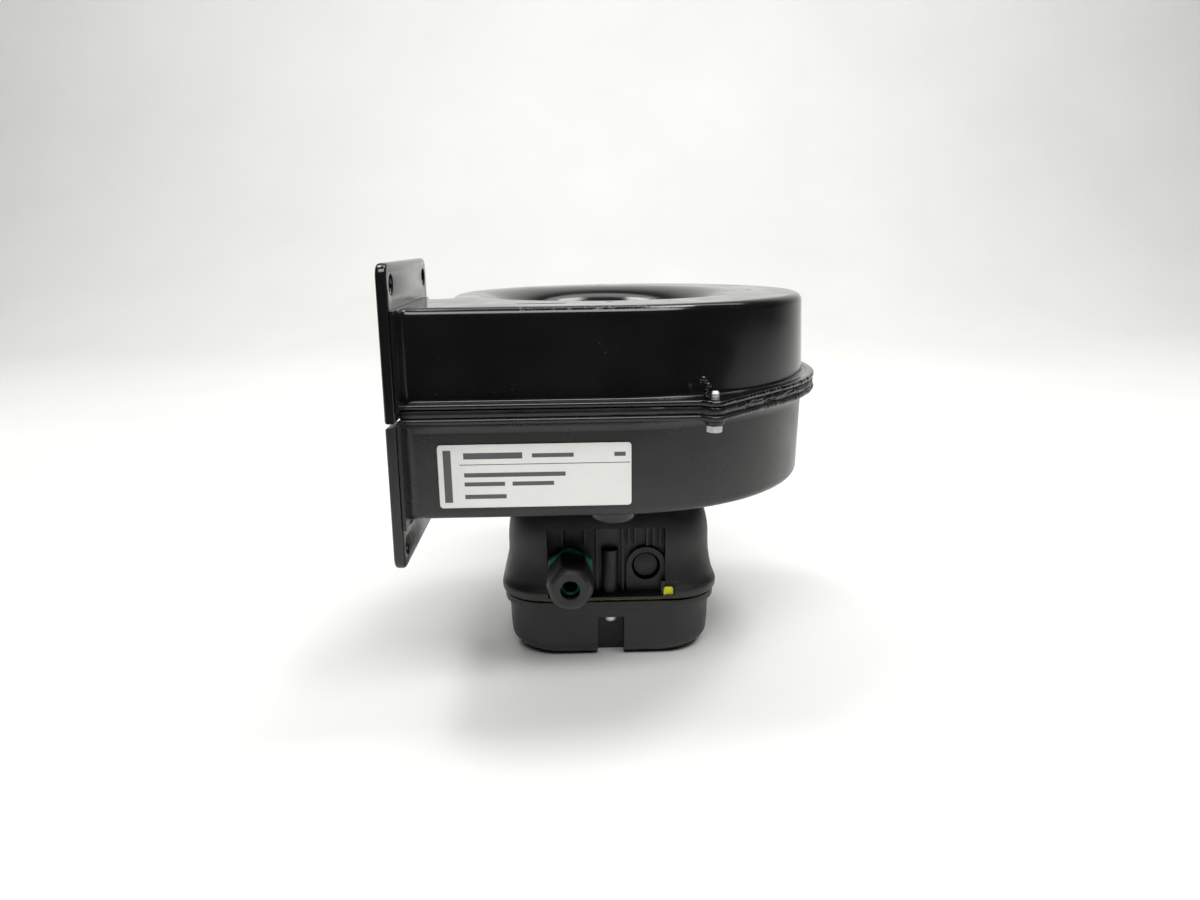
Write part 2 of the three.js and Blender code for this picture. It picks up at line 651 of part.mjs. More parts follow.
function terminalBoxBody() {
  const neckTop = MOTOR_PLATE_Z[0] - GAP;
  const outer = join(cushion(BODY_LEVELS), rod(NECK_R, BODY_TOP - 2, neckTop, NECK_SEGMENTS));
  const cavityLevels = [
    [BODY_LEVELS[0][0], BODY_BOTTOM - 1],
    ...BODY_LEVELS.slice(1, -1),
    [BODY_LEVELS[BODY_LEVELS.length - 1][0], BODY_TOP - BOX_WALL],
  ];
  const recess = box(PANEL_X, [-70, PANEL_Y], PANEL_Z);
  const recessBack = box([PANEL_X[0] - BOX_WALL, PANEL_X[1] + BOX_WALL], [-70, PANEL_Y + BOX_WALL],
    [BODY_BOTTOM - 2, PANEL_Z[1] + BOX_WALL]);
  const cavity = cut(cushion(cavityLevels, BOX_WALL), recessBack);
  const neckBore = rod(NECK_R - 3, BODY_TOP - BOX_WALL - 2, MOTOR_PLATE_Z[0], NECK_SEGMENTS);
  const bridge = cut(box([-NECK_R + 1, NECK_R - 1], [-8, 8], [BODY_TOP - BOX_WALL - 1, BODY_TOP]),
    rod(10, BODY_TOP - 10, BODY_TOP + 1));
  const screwBosses = BOX_SCREW_PLACES.map((x) => at(rod(5, BODY_TOP - 8, neckTop, 12), x, 0));
  const shell = join(cut(outer, recess, cavity, neckBore), bridge, ...screwBosses);
  const posts = POST_PLACES.map((y) => at(rod(POST_R, BODY_BOTTOM, POST_TOP, 16), 0, y));
  const rib = (x, bottom) =>
    box([x - RIB_T / 2, x + RIB_T / 2], [PANEL_Y - RIB_OUT, PANEL_Y + 0.5], [bottom, PANEL_Z[1] + 0.5]);
  const ribs = [
    ...SHORT_RIB_X.map((x) => rib(x, RIB_BOTTOM)),
    ...LONG_RIB_X.map((x) => rib(x, PANEL_Z[0] - 0.5)),
  ];
  const blankHole = alongEntry(rod(BLANK_HOLE_R, -PANEL_Y - 8, -PANEL_Y + 8, 24), BLANK_X);
  const glandHole = alongEntry(rod(GLAND_THREAD_R + GAP, -PANEL_Y - 8, -PANEL_Y + 8, 24), GLAND_X);
  const pilots = POST_PLACES.map((y) => at(rod(POST_PILOT_R, BODY_BOTTOM - 1, POST_TOP - 4, 10), 0, y));
  const boxPilots = BOX_SCREW_PLACES.map((x) =>
    at(rod(SCREW_HOLE_R, BODY_TOP - 4, MOTOR_PLATE_Z[0], 10), x, 0));
  const bosses = [entryBoss(BLANK_X, BLANK_BOSS_OUT), entryBoss(GLAND_X, GLAND_BOSS_OUT)];
  // The seal's tab rises through a slot behind the lip and shows in a window above it.
  const { x: tabX, y: tabY, top: tabTop } = SEAL_TAB;
  const backing = box([tabX[0] - 1.2, tabX[1] + 3], [tabY[1] - 0.5, tabY[1] + 3], [BODY_BOTTOM, tabTop + 3]);
  const slot = box([tabX[0] - GAP, tabX[1] + GAP], [tabY[0] - GAP, tabY[1] + GAP], [BODY_BOTTOM - 1, tabTop]);
  const window = box([tabX[0] - 0.6, tabX[1] + 0.6], [-70, tabY[1] + GAP], [TAB_WINDOW_BOTTOM, tabTop + 0.9]);
  return cut(join(shell, backing, ...bosses, ...posts, ...ribs), blankHole, glandHole, slot, window,
    ...pilots, ...boxPilots);
}

function terminalBoxCover() {
  const openEnd = [COVER_LEVELS[COVER_LEVELS.length - 1][0], COVER_TOP + 1];
  const cavityLevels = [[48, BOX_WALL], [51, 4], ...COVER_LEVELS.slice(2, -1), openEnd];
  // A notch in the front or back wall, grown by wall all round to stand for the plastic behind it.
  const notch = (side, wall) => {
    const y = [side * (-NOTCH_Y - wall), side * 70].sort((a, b) => a - b);
    return box([-NOTCH_HALF - wall, NOTCH_HALF + wall], y, [-1, NOTCH_TOP + wall]);
  };
  const cavity = cut(cushion(cavityLevels, BOX_WALL), notch(-1, BOX_WALL), notch(1, BOX_WALL));
  const holes = POST_PLACES.map((y) => at(rod(SCREW_HOLE_R, 10, 40, 12), 0, y));
  return cut(cushion(COVER_LEVELS), cavity, notch(-1, 0), notch(1, 0), ...holes);
}

// The box seal, with a tab that shows outside that it is fitted.
function boxSeal() {
  const outer = prism(roundedSquare(SEAL_HALF[1], BOX_CORNER_R), ...SEAL_Z);
  const inner = prism(roundedSquare(SEAL_HALF[0], BOX_CORNER_R - 4), SEAL_Z[0] - 1, SEAL_Z[1] + 1);
  const tabRoot = box(SEAL_TAB.x, [SEAL_TAB.y[0], 1 - SEAL_HALF[1]], SEAL_Z);
  const tab = box(SEAL_TAB.x, SEAL_TAB.y, [SEAL_Z[0], SEAL_TAB.top]);
  const holes = POST_PLACES.map((y) => at(rod(SCREW_HOLE_R, SEAL_Z[0] - 1, SEAL_Z[1] + 1, 12), 0, y));
  return cut(join(cut(outer, inner), tabRoot, tab), ...holes);
}

// A pan-head screw driven upwards, head down.
function coverScrew(y) {
  const head = NOTCH_TOP - GAP;
  return at(turned([
    [0, head - 3.9],
    [2.9, head - 3.6],
    [4.1, head - 2.2],
    [4.3, head],
    [1.6, head],
    [1.6, POST_TOP - 8],
    [0, POST_TOP - 7],
  ], 16), 0, y);
}

// ---------- cable gland: made about Z, then laid along the entry ----------
const glandFront = -GLAND_FRONT_Y;
const panelFace = -PANEL_Y + GLAND_BOSS_OUT; // front of the gland's boss

function glandBody() {
  const hexBack = panelFace + GAP;
  return alongEntry(cut(join(
    rod(GLAND_THREAD_R, -PANEL_Y - 6.5, hexBack + 0.2, 24),
    hexBar(GLAND_HEX_FLATS, hexBack, hexBack + GLAND_HEX_H, Math.PI / 6),
    rod(GLAND_THREAD_R, hexBack + GLAND_HEX_H - 0.2, hexBack + GLAND_HEX_H + 9, 20),
  ), rod(GLAND_BORE_R, 20, 90)), GLAND_X);
}

function glandNut() {
  const back = panelFace + GAP + GLAND_HEX_H + GAP;
  const hexEnd = glandFront - 6;
  const dome = turned([
    [0, hexEnd - 0.5],
    [GLAND_DOME_R, hexEnd - 0.5],
    [GLAND_DOME_R, glandFront - 3],
    [GLAND_FACE_R, glandFront],
    [0, glandFront],
  ], 20);
  const threadR = GLAND_THREAD_R + GAP;
  const bore = turned([
    [0, back - 1],
    [threadR, back - 1],
    [threadR, back + 10],
    [threadR - 1.3, glandFront - 6],
    [GLAND_MOUTH_R + 0.6, glandFront - 2],
    [GLAND_MOUTH_R, glandFront + 1],
    [0, glandFront + 1],
  ], 20);
  return alongEntry(cut(join(hexBar(GLAND_FLATS, back, hexEnd, GLAND_TURN), dome), bore), GLAND_X);
}

function glandSeal() {
  const inner = GLAND_BORE_R - 1.8;
  return alongEntry(turned([
    [inner, panelFace + 6],
    [GLAND_BORE_R - GAP, panelFace + 6],
    [GLAND_BORE_R - GAP, glandFront - 14],
    [6.4, glandFront - 13],
    [6.4, glandFront - 8],
    [GLAND_MOUTH_R, glandFront - 6.4],
    [inner, glandFront - 6.4],
    [inner, panelFace + 6],
  ], 16), GLAND_X);
}

function glandLocknut() {
  const face = -PANEL_Y - BOX_WALL - GAP;
  return alongEntry(cut(hexBar(22, face - 3.5, face), rod(GLAND_THREAD_R + GAP, 20, 90, 24)), GLAND_X);
}

const blankingDisc = () =>
  alongEntry(rod(BLANK_DISC_R, -PANEL_Y - 1.5, -PANEL_Y + BLANK_BOSS_OUT - BLANK_DISC_SUNK, 24), BLANK_X);

// ---------- inside the terminal box ----------
function capacitor() {
  const [x0, x1] = CAPACITOR.x;
  const { r } = CAPACITOR;
  return turned([
    [0, x0],
    [r - 1.5, x0],
    [r, x0 + 1.5],
    [r, x1 - 6],
    [r - 1, x1 - 5],
    [r, x1 - 4],
    [r, x1],
    [4, x1],
    [4, x1 + 5],
    [0, x1 + 5],
  ], 20).rotate([0, 90, 0]).translate([0, CAPACITOR.y, CAPACITOR.z]);
}

function terminalBlock() {
  const { x, y, z, count } = TERMINALS;
  const pitch = (x[1] - x[0]) / count;
  const wells = Array.from({ length: count }, (_, i) => {
    const cx = x[0] + (i + 0.5) * pitch;
    return join(at(rod(2.6, z[0] - 1, z[0] + 8, 12), cx, (y[0] + y[1]) / 2),
      box([cx - 2.4, cx + 2.4], [y[0] - 1, y[0] + 6], [z[0] + 4, z[0] + 10]));
  });
  const grooves = Array.from({ length: count - 1 }, (_, i) => {
    const gx = x[0] + (i + 1) * pitch;
    return box([gx - 0.5, gx + 0.5], [y[0] - 1, y[1] + 1], [z[0] - 1, z[0] + 4]);
  });
  return cut(box(x, y, z), ...wells, ...grooves);
}

// A motor lead along a smooth route, as a tube.
function lead(route, r) {
  const curve = new THREE.CatmullRomCurve3(route.map((p) => new THREE.Vector3(...p)));
  const section = new THREE.Shape(ring(0, 0, r, 6));
  return solid(new THREE.ExtrudeGeometry(section, { extrudePath: curve, steps: 14 }));
}

const leadRoute = (shift) => [
  [shift * 2.6, 0, 92],
  [shift * 2.6, -1, 84],
  [shift * 3.4 - 4, -6, 74],
  [shift * 8 - 8, -16, 68],
  [shift * 10.5 - 10, -24, 65],
  [shift * 11 - 10, -24, 62.6],
];

// ---------- materials ----------
const finish = (color, roughness, metalness) =>
  new THREE.MeshStandardMaterial({ color, roughness, metalness });
const glossPaint = finish(0x0c0c0d, 0.22, 0.0);
const satinPaint = finish(0x232425, 0.5, 0.0);
const blackPlastic = finish(0x1d1e1f, 0.6, 0.0);
const tealPlastic = finish(0x14635f, 0.45, 0.0);
const yellowRubber = finish(0xd9dc1e, 0.5, 0.0);
const sealRubber = finish(0x15161a, 0.9, 0.0);
const zinc = finish(0xc3c5c6, 0.35, 1.0);
const galvanised = finish(0xa9adb0, 0.4, 1.0);
const castAluminium = finish(0xb0b3b5, 0.5, 1.0);
const laminations = finish(0x5d6063, 0.5, 1.0);
const copper = finish(0xb4693a, 0.4, 1.0);
const bearingSteel = finish(0xd0d3d6, 0.18, 1.0);
const labelWhite = finish(0xe6e6e0, 0.5, 0.0);
const capacitorWhite = finish(0xdedfdc, 0.45, 0.0);
const terminalGrey = finish(0x8a8d8c, 0.6, 0.0);
const leadColours = [finish(0x2b62a8, 0.5, 0.0), finish(0x6a4326, 0.5, 0.0), finish(0xb8bc34, 0.5, 0.0)];

// ---------- assembly ----------
const fan = new THREE.Group();

function add(name, made, material) {
  const mesh = new THREE.Mesh(geometryOf(made), material);
  mesh.name = name;
  fan.add(mesh);
}

add("upper_scroll_shell", upperScrollShell(), glossPaint);
add("lower_scroll_shell", lowerScrollShell(), satinPaint);
add("seam_gasket", seamGasket(), sealRubber);
add("upper_flange_plate", flangeHalf(true), glossPaint);
add("lower_flange_plate", flangeHalf(false), satinPaint);
seamScrewPlaces.forEach((place, i) => {
  add(`seam_screw_${i + 1}`, hexScrew(place, EAR_BOTTOM - GAP - SCREW_HEAD_H, SEAM_SCREW_TOP), zinc);
});
const labelCentreZ = (LABEL.z[0] + LABEL.z[1]) / 2;
const lowerWallHeight = FILLET_START - HOUSING_BOTTOM - EDGE_R;
const labelLean = (Math.atan(DRAFT / lowerWallHeight) * 180) / Math.PI;
const labelWallY = -ARC_NEAR.r + (DRAFT * (FILLET_START - labelCentreZ)) / lowerWallHeight;
const label = box(LABEL.x, [-LABEL.t, 0], [LABEL.z[0] - labelCentreZ, LABEL.z[1] - labelCentreZ]);
const placedLabel = label.rotate([labelLean, 0, 0]).translate([0, labelWallY - GAP, labelCentreZ]);
add("type_label", placedLabel, labelWhite);

add("impeller_back_plate", turned([
  [ROTOR_R + GAP, WHEEL_BOTTOM],
  [BLADE_OUT_R + 0.4, WHEEL_BOTTOM],
  [BLADE_OUT_R + 0.4, WHEEL_BOTTOM + 1.2],
  [ROTOR_R + 1.6, WHEEL_BOTTOM + 1.2],
  [ROTOR_R + 1.6, WHEEL_BOTTOM + 6],
  [ROTOR_R + GAP, WHEEL_BOTTOM + 6],
  [ROTOR_R + GAP, WHEEL_BOTTOM],
], WHEEL_SEGMENTS), galvanised);
add("impeller_blade_band", impellerBladeBand(), galvanised);
add("impeller_front_ring", turned([
  [BLADE_IN_R + 3, WHEEL_TOP - 1.2],
  [BLADE_OUT_R + 0.4, WHEEL_TOP - 1.2],
  [BLADE_OUT_R + 0.4, WHEEL_TOP],
  [BLADE_IN_R + 3, WHEEL_TOP],
  [BLADE_IN_R + 3, WHEEL_TOP - 1.2],
], WHEEL_SEGMENTS), galvanised);
add("rotor_can", rotorCan(), satinPaint);
add("rotor_core", tube(35.1, ROTOR_R - 1.8 - GAP, ...CORE_Z, 32), laminations);
add("motor_shaft", turned([
  [0, LOWER_BEARING_Z - 1.6],
  [SHAFT_R, LOWER_BEARING_Z - 1.2],
  [SHAFT_R, ROTOR_TOP + 2.6],
  [0, ROTOR_TOP + 3],
], 20), bearingSteel);
for (const [place, z] of [["lower", LOWER_BEARING_Z], ["upper", UPPER_BEARING_Z]]) {
  const ringAt = (inner, outer) => tube(inner, outer, z, z + BEARING.width, 20);
  add(`${place}_bearing_inner_ring`, ringAt(BEARING.inner, BEARING.innerRing), bearingSteel);
  add(`${place}_bearing_outer_ring`, ringAt(BEARING.outerRing, BEARING.outer), bearingSteel);
  add(`${place}_bearing_balls`, ballCage(z), bearingSteel);
}
const circlipZ = UPPER_BEARING_Z + BEARING.width + GAP;
add("shaft_circlip", tube(SHAFT_R + 0.15, 6, circlipZ, circlipZ + 0.9, 20), zinc);

add("stator_core", statorCore(), laminations);
add("upper_winding", endWinding(CORE_Z[1] + GAP, CORE_Z[1] + 5.5), copper);
add("lower_winding", endWinding(CORE_Z[0] - 5.5, CORE_Z[0] - GAP), copper);
add("stator_carrier", statorCarrier(), castAluminium);
add("motor_plate", motorPlate(), satinPaint);
plateScrewPlaces.forEach((place, i) => {
  const screw = hexScrew(place, MOTOR_PLATE_Z[0] - GAP - SCREW_HEAD_H, HOUSING_BOTTOM + 5);
  add(`plate_screw_${i + 1}`, screw, zinc);
});

add("terminal_box_body", terminalBoxBody(), blackPlastic);
add("terminal_box_cover", terminalBoxCover(), blackPlastic);
add("terminal_box_seal", boxSeal(), yellowRubber);
add("cover_screw_front", coverScrew(POST_Y), zinc);
add("cover_screw_back", coverScrew(-POST_Y), zinc);
add("gland_body", glandBody(), tealPlastic);
add("gland_seal", glandSeal(), tealPlastic);
add("gland_nut", glandNut(), blackPlastic);
add("gland_locknut", glandLocknut(), tealPlastic);
add("blanking_disc", blankingDisc(), blackPlastic);
add("capacitor", capacitor(), capacitorWhite);
add("terminal_block", terminalBlock(), terminalGrey);
["blue", "brown", "earth"].forEach((colour, i) => {
  add(`motor_lead_${colour}`, lead(leadRoute(i - 1), LEAD_R), leadColours[i]);
});

export default fan;
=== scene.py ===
import json
import math
import random

import bmesh
import bpy
from mathutils import Matrix, Vector, noise
from mathutils.geometry import tessellate_polygon


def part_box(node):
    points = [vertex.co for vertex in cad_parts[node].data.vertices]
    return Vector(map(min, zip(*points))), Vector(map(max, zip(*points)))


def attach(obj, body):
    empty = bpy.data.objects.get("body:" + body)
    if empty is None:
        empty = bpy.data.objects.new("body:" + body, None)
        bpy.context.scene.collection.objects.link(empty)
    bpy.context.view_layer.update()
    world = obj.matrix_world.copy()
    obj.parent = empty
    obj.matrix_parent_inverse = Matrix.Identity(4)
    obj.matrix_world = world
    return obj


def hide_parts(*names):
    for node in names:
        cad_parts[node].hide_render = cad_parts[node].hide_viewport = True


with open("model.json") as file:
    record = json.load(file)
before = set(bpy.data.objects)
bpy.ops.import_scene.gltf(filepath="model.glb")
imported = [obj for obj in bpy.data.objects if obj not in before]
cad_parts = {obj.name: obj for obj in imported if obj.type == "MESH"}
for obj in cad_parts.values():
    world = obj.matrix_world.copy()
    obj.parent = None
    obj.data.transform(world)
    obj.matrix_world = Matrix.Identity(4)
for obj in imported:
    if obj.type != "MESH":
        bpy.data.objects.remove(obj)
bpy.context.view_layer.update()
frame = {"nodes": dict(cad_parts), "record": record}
MM = 0.001  # shapes below are worked out in millimetres
QUARTER = math.pi / 2

# ---------- camera, in millimetres and degrees ----------
CAMERA_PLACE = (-16.5, -517.7, 228.1)
CAMERA_PITCH, CAMERA_YAW, CAMERA_ROLL = 13.27, 1.45, -0.72
CAMERA_LENS = 26.9

# ---------- the housing's plan, as the CAD has it ----------
ARC_NEAR = (1.5, 0.0, 110.0)
ARC_FAR = (14.5, 0.0, 97.0)
ARC_TONGUE = (14.5, -4.0, 101.0)
DUCT_FAR_Y = -38.5
TONGUE_FILLET_R = 8.0
SHEET = 1.5
DRAFT = 1.4
EDGE_R = 4.5
BITE = 0.05  # how far a joined shape reaches into the wall it stands on
RIM_WIDTH = 6.8
UPPER_RIM_T, LOWER_RIM_T = 2.7, 2.8
UPPER_FOOT_R, LOWER_FOOT_R = 1.4, 5.2  # the fillets between a wall and its rim
HEM, HEM_STEP = 4.6, 0.45  # width and height of the fold along the upper rim's edge
GASKET_INSET = 0.7
LIP_BEND_R = 4.0
LUG_HALF_ANGLE = math.radians(23.75)
LUGS = [(ARC_NEAR, math.radians(-66.25)), (ARC_FAR, math.radians(45)), (ARC_TONGUE, math.radians(135))]
EAR_R = 6.0
EAR_FOOT_R = 4.6
EAR_BOTTOM = 144.2
SCREW_HOLE_R = 2.3
SCREW_R, SCREW_FLATS, SCREW_HEAD_H = 2.0, 7.0, 3.2
THROAT_R = 50.0
BELL_WIDTH = 26.0
BELL_HEIGHT = 18.5
BELL_FLAT = 1.5  # the ring of flat sheet around the bell mouth
BELL_END_Z = 176.0
BELL_SEGMENTS = 144
GUARD_CIRCLE_R = 83.0
GUARD_HOLE_R = 1.7
GROOVE_X, GROOVE_Y, GROOVE_WIDTH, GROOVE_DEPTH = (-43.5, -21.5), -88.5, 3.0, 0.8
MOTOR_OPENING_R = 63.0
FOOT_PLACE, FOOT_R, FOOT_DEPTH = (0.5, -89.0), 11.5, 6.8
FOOT_EDGE_R = FOOT_R + 1.6
LIP_ENDS_Y = (-123.5, -24.5)
CRIMP_START_X, CRIMP_FULL_X = 35, 75  # where the rim's crimping begins, and from where it is deepest
FINE_NEAR_EAR, FINE_X, FINE_Y = 26, 30, 70  # where the rim has close stations


def box_mm(node):
    low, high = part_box(node)
    return [v / MM for v in low], [v / MM for v in high]


UPPER_LOW, UPPER_HIGH = box_mm("upper_scroll_shell")
LOWER_HIGH = box_mm("lower_scroll_shell")[1]
GASKET_LOW, GASKET_HIGH = box_mm("seam_gasket")
FLANGE_LOW, FLANGE_HIGH = box_mm("upper_flange_plate")
FLANGE_BOTTOM = box_mm("lower_flange_plate")
SHELL_END_X = UPPER_LOW[0]
TOP_Z, BOTTOM_Z = UPPER_HIGH[2], 98.5
UPPER_RIM_Z = (UPPER_LOW[2], UPPER_LOW[2] + UPPER_RIM_T)
LOWER_RIM_Z = (LOWER_HIGH[2] - LOWER_RIM_T, LOWER_HIGH[2])
SCREWS = [box_mm(f"seam_screw_{i}") for i in (1, 2, 3, 4)]


def middle(box):
    low, high = box
    return (low[0] + high[0]) / 2, (low[1] + high[1]) / 2


EARS = [middle(screw) for screw in SCREWS]


# ---------- meshes ----------
class Shape:
    """Vertices in millimetres and faces, gathered piece by piece."""

    def __init__(self):
        self.points = []
        self.faces = []

    def add(self, points):
        start = len(self.points)
        self.points += [tuple(p) for p in points]
        return list(range(start, len(self.points)))

    def strip(self, a, b, closed=False):
        """Quads between two rows of vertices of equal length."""
        count = len(a)
        for i in range(count if closed else count - 1):
            j = (i + 1) % count
            self.faces.append((a[i], a[j], b[j], b[i]))

    def grid(self, rows, closed=False, cyclic=False):
        """Rows of points, skinned. closed joins each row's ends, cyclic joins the last row to the first."""
        made = [self.add(row) for row in rows]
        for a, b in zip(made, made[1:] + (made[:1] if cyclic else [])):
            self.strip(a, b, closed)
        return made

    def fill(self, loops):
        """A flat face over loops of vertex numbers: the outline first, then its holes."""
        flat = [i for loop in loops for i in loop]
        polylines = [[Vector(self.points[i]) for i in loop] for loop in loops]
        for triangle in tessellate_polygon(polylines):
            corners = [flat[k] for k in triangle]
            if len(set(corners)) == 3:
                self.faces.append(tuple(corners))

    def join(self, other):
        start = len(self.points)
        self.points += other.points
        self.faces += [tuple(i + start for i in face) for face in other.faces]
        return self

    def moved(self, matrix):
        self.points = [tuple(matrix @ Vector(p)) for p in self.points]
        return self


def piece(name, shape, material, nodes=(), body="housing", sharp=32):
    """A mesh object in metres that rides on a body and stands for CAD nodes."""
    mesh = bpy.data.meshes.new(name)
    mesh.from_pydata([Vector(p) * MM for p in shape.points], [], shape.faces)
    made = bpy.data.objects.new(name, mesh)
    bpy.context.scene.collection.objects.link(made)
    clean_up(mesh)
    mesh.set_sharp_from_angle(angle=math.radians(sharp))
    mesh.materials.append(material)
    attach(made, body)
    if nodes:
        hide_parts(*nodes)
    return made


def clean_up(mesh):
    work = bmesh.new()
    work.from_mesh(mesh)
    bmesh.ops.remove_doubles(work, verts=work.verts, dist=1e-6)
    bmesh.ops.dissolve_degenerate(work, edges=work.edges, dist=1e-7)
    bmesh.ops.recalc_face_normals(work, faces=work.faces)
    for face in work.faces:
        face.smooth = True
    work.to_mesh(mesh)
    work.free()


def turns(count, start=0.0, end=2 * math.pi):
    """Angles from start to end, in count equal steps; the last is left out on a full turn."""
    last = count if end - start < 2 * math.pi else count - 1
    return [start + (end - start) * i / count for i in range(last + 1)]


def circle(cx, cy, r, count):
    return [(cx + r * math.cos(a), cy + r * math.sin(a)) for a in turns(count)]


def lathe(profile, segments=64, closed=True, centre=(0.0, 0.0)):
    """A closed profile of (radius, height) turned about a vertical line. Ends on the axis are filled."""
    shape = Shape()
    rows = []
    for r, z in profile:
        rows.append([(x, y, z) for x, y in circle(*centre, max(r, 0.0005), segments)])
    made = shape.grid(rows, closed=True, cyclic=closed)
    if not closed:
        shape.faces.append(tuple(made[0]))
        shape.faces.append(tuple(made[-1]))
    return shape


def inset(outline, amount):
    """An outline moved inwards, for one that runs anticlockwise; a hole runs clockwise."""
    made = []
    count = len(outline)
    for i, (x, y) in enumerate(outline):
        ax, ay = x - outline[i - 1][0], y - outline[i - 1][1]
        bx, by = outline[(i + 1) % count][0] - x, outline[(i + 1) % count][1] - y
        la, lb = math.hypot(ax, ay) or 1.0, math.hypot(bx, by) or 1.0
        nx, ny = -ay / la - by / lb, ax / la + bx / lb
        size = math.hypot(nx, ny) or 1.0
        stretch = min(2.0 / size, 1.6)
        made.append((x + nx / size * amount * stretch, y + ny / size * amount * stretch))
    return made


def area(outline):
    pairs = zip(outline, outline[1:] + outline[:1])
    return sum(a[0] * b[1] - b[0] * a[1] for a, b in pairs) / 2


def slab(outline, holes, z0, z1, r, steps=4):
    """A plate with holes and rounded edges, lying flat between z0 and z1."""
    shape = Shape()
    loops = [outline if area(outline) > 0 else outline[::-1]]
    loops += [hole if area(hole) < 0 else hole[::-1] for hole in holes]
    bottoms, tops = [], []
    for loop in loops:
        rows = []
        for z_end, sign in ((z0, 1), (z1, -1)):
            edge = [(r * (1 - math.sin(a)), z_end + sign * r * (1 - math.cos(a)))
                    for a in turns(steps, 0, QUARTER)]
            rows += edge if sign > 0 else edge[::-1]
        made = shape.grid([[(x, y, z) for x, y in inset(loop, d)] for d, z in rows], closed=True)
        bottoms.append(made[0])
        tops.append(made[-1])
    shape.fill(bottoms)
    shape.fill(tops)
    return shape


# ---------- the scroll as a path of stations ----------
def arc_stations(cx, cy, r, start, end, step=math.radians(1.25), inward=False):
    count = max(2, round(abs(end - start) / step))
    side = -1 if inward else 1
    made = []
    for i in range(count + 1):
        a = start + (end - start) * i / count
        c, s = math.cos(a), math.sin(a)
        made.append((cx + r * c, cy + r * s, side * c, side * s, 1.0))
    return made


def straight(x0, y0, x1, y1, nx, ny, k=1.0, step=5.0):
    count = max(1, round(math.hypot(x1 - x0, y1 - y0) / step))
    return [(x0 + (x1 - x0) * i / count, y0 + (y1 - y0) * i / count, nx, ny, k) for i in range(count + 1)]


def without_repeats(stations):
    kept = [stations[0]]
    for s in stations[1:]:
        if math.hypot(s[0] - kept[-1][0], s[1] - kept[-1][1]) > 1e-4:
            kept.append(s)
    return kept


def tongue_fillet():
    """The corner between the tongue's arc and the duct's far wall: its centre and its first angle."""
    cx, cy, r = ARC_TONGUE
    fy = DUCT_FAR_Y + TONGUE_FILLET_R
    fx = cx - math.sqrt((r + TONGUE_FILLET_R) ** 2 - (fy - cy) ** 2)
    return fx, fy, math.atan2(cy - fy, cx - fx)


def scroll_stations(start_x):
    near_y = ARC_NEAR[1] - ARC_NEAR[2]
    fx, fy, meet = tongue_fillet()
    tongue_end = math.pi + meet
    return without_repeats(
        straight(start_x, near_y, ARC_NEAR[0], near_y, 0, -1)
        + arc_stations(*ARC_NEAR, -math.pi / 2, 0)
        + arc_stations(*ARC_FAR, 0, math.pi / 2)
        + arc_stations(*ARC_TONGUE, math.pi / 2, tongue_end)
        + arc_stations(fx, fy, TONGUE_FILLET_R, meet, -math.pi / 2, math.radians(8), inward=True)
        + straight(fx, DUCT_FAR_Y, start_x, DUCT_FAR_Y, 0, 1)
    )


def lip_stations(wall_y, side, edge_y):
    """From the lip's edge on the flange, round the bend, to the wall. The last number runs from 0 to 1."""
    lip_x = SHELL_END_X + SHEET
    cx, cy = lip_x + LIP_BEND_R, wall_y + side * LIP_BEND_R
    made = straight(lip_x, edge_y, lip_x, cy, 1, 0, 0.0)
    steps = 10
    for i in range(steps + 1):
        t = i / steps
        a = math.pi - t * math.pi / 2
        x, y = cx + LIP_BEND_R * math.cos(a), cy - side * LIP_BEND_R * math.sin(a)
        made.append((x, y, (cx - x) / LIP_BEND_R, (cy - y) / LIP_BEND_R, t * t * (3 - 2 * t)))
    return made


def wall_stations():
    near = lip_stations(ARC_NEAR[1] - ARC_NEAR[2], -1, LIP_ENDS_Y[0])
    far = lip_stations(DUCT_FAR_Y, 1, LIP_ENDS_Y[1])
    body = scroll_stations(SHELL_END_X + SHEET + LIP_BEND_R)
    return without_repeats(near + body + far[::-1])


def rim_reach(station):
    """How far the rim stands out from the wall at a station, lugs and ears included."""
    x, y, nx, ny, _ = station
    reach = RIM_WIDTH
    for (cx, cy, r), angle in LUGS:
        here = math.atan2(y - cy, x - cx)
        if abs(math.hypot(x - cx, y - cy) - r) > 0.05 or abs(here - angle) > LUG_HALF_ANGLE:
            continue
        for edge in (angle - LUG_HALF_ANGLE, angle + LUG_HALF_ANGLE):
            facing = nx * math.cos(edge) + ny * math.sin(edge)
            out = (r + RIM_WIDTH - (x - cx) * math.cos(edge) - (y - cy) * math.sin(edge)) / facing
            lug = out if edge < angle else min(lug, out)
        reach = max(reach, lug)
    for ex, ey in EARS[:3]:
        along = (ex - x) * nx + (ey - y) * ny
        aside = abs((ex - x) * ny - (ey - y) * nx)
        if 0 < along < 30 and aside < EAR_R:
            reach = max(reach, along + math.sqrt(EAR_R**2 - aside**2))
    return reach


def near_ears(stations):
    """More stations beside the ears and along the crimped bend, where the rim's edge turns quickly."""
    made = [stations[0]]
    for s in stations[1:]:
        before = made[-1]
        close = any(math.hypot(s[0] - ex, s[1] - ey) < FINE_NEAR_EAR for ex, ey in EARS[:3])
        crimped = s[0] > FINE_X and s[1] < FINE_Y
        parts = 5 if close or crimped else 1
        for i in range(1, parts + 1):
            mixed = [a + (b - a) * i / parts for a, b in zip(before, s)]
            made.append(tuple(mixed))
    return made


def rim_stations():
    return near_ears(scroll_stations(SHELL_END_X))


def smoothed(values, passes=3):
    for _ in range(passes):
        values = [
            (values[max(i - 1, 0)] + 2 * v + values[min(i + 1, len(values) - 1)]) / 4
            for i, v in enumerate(values)
        ]
    return values


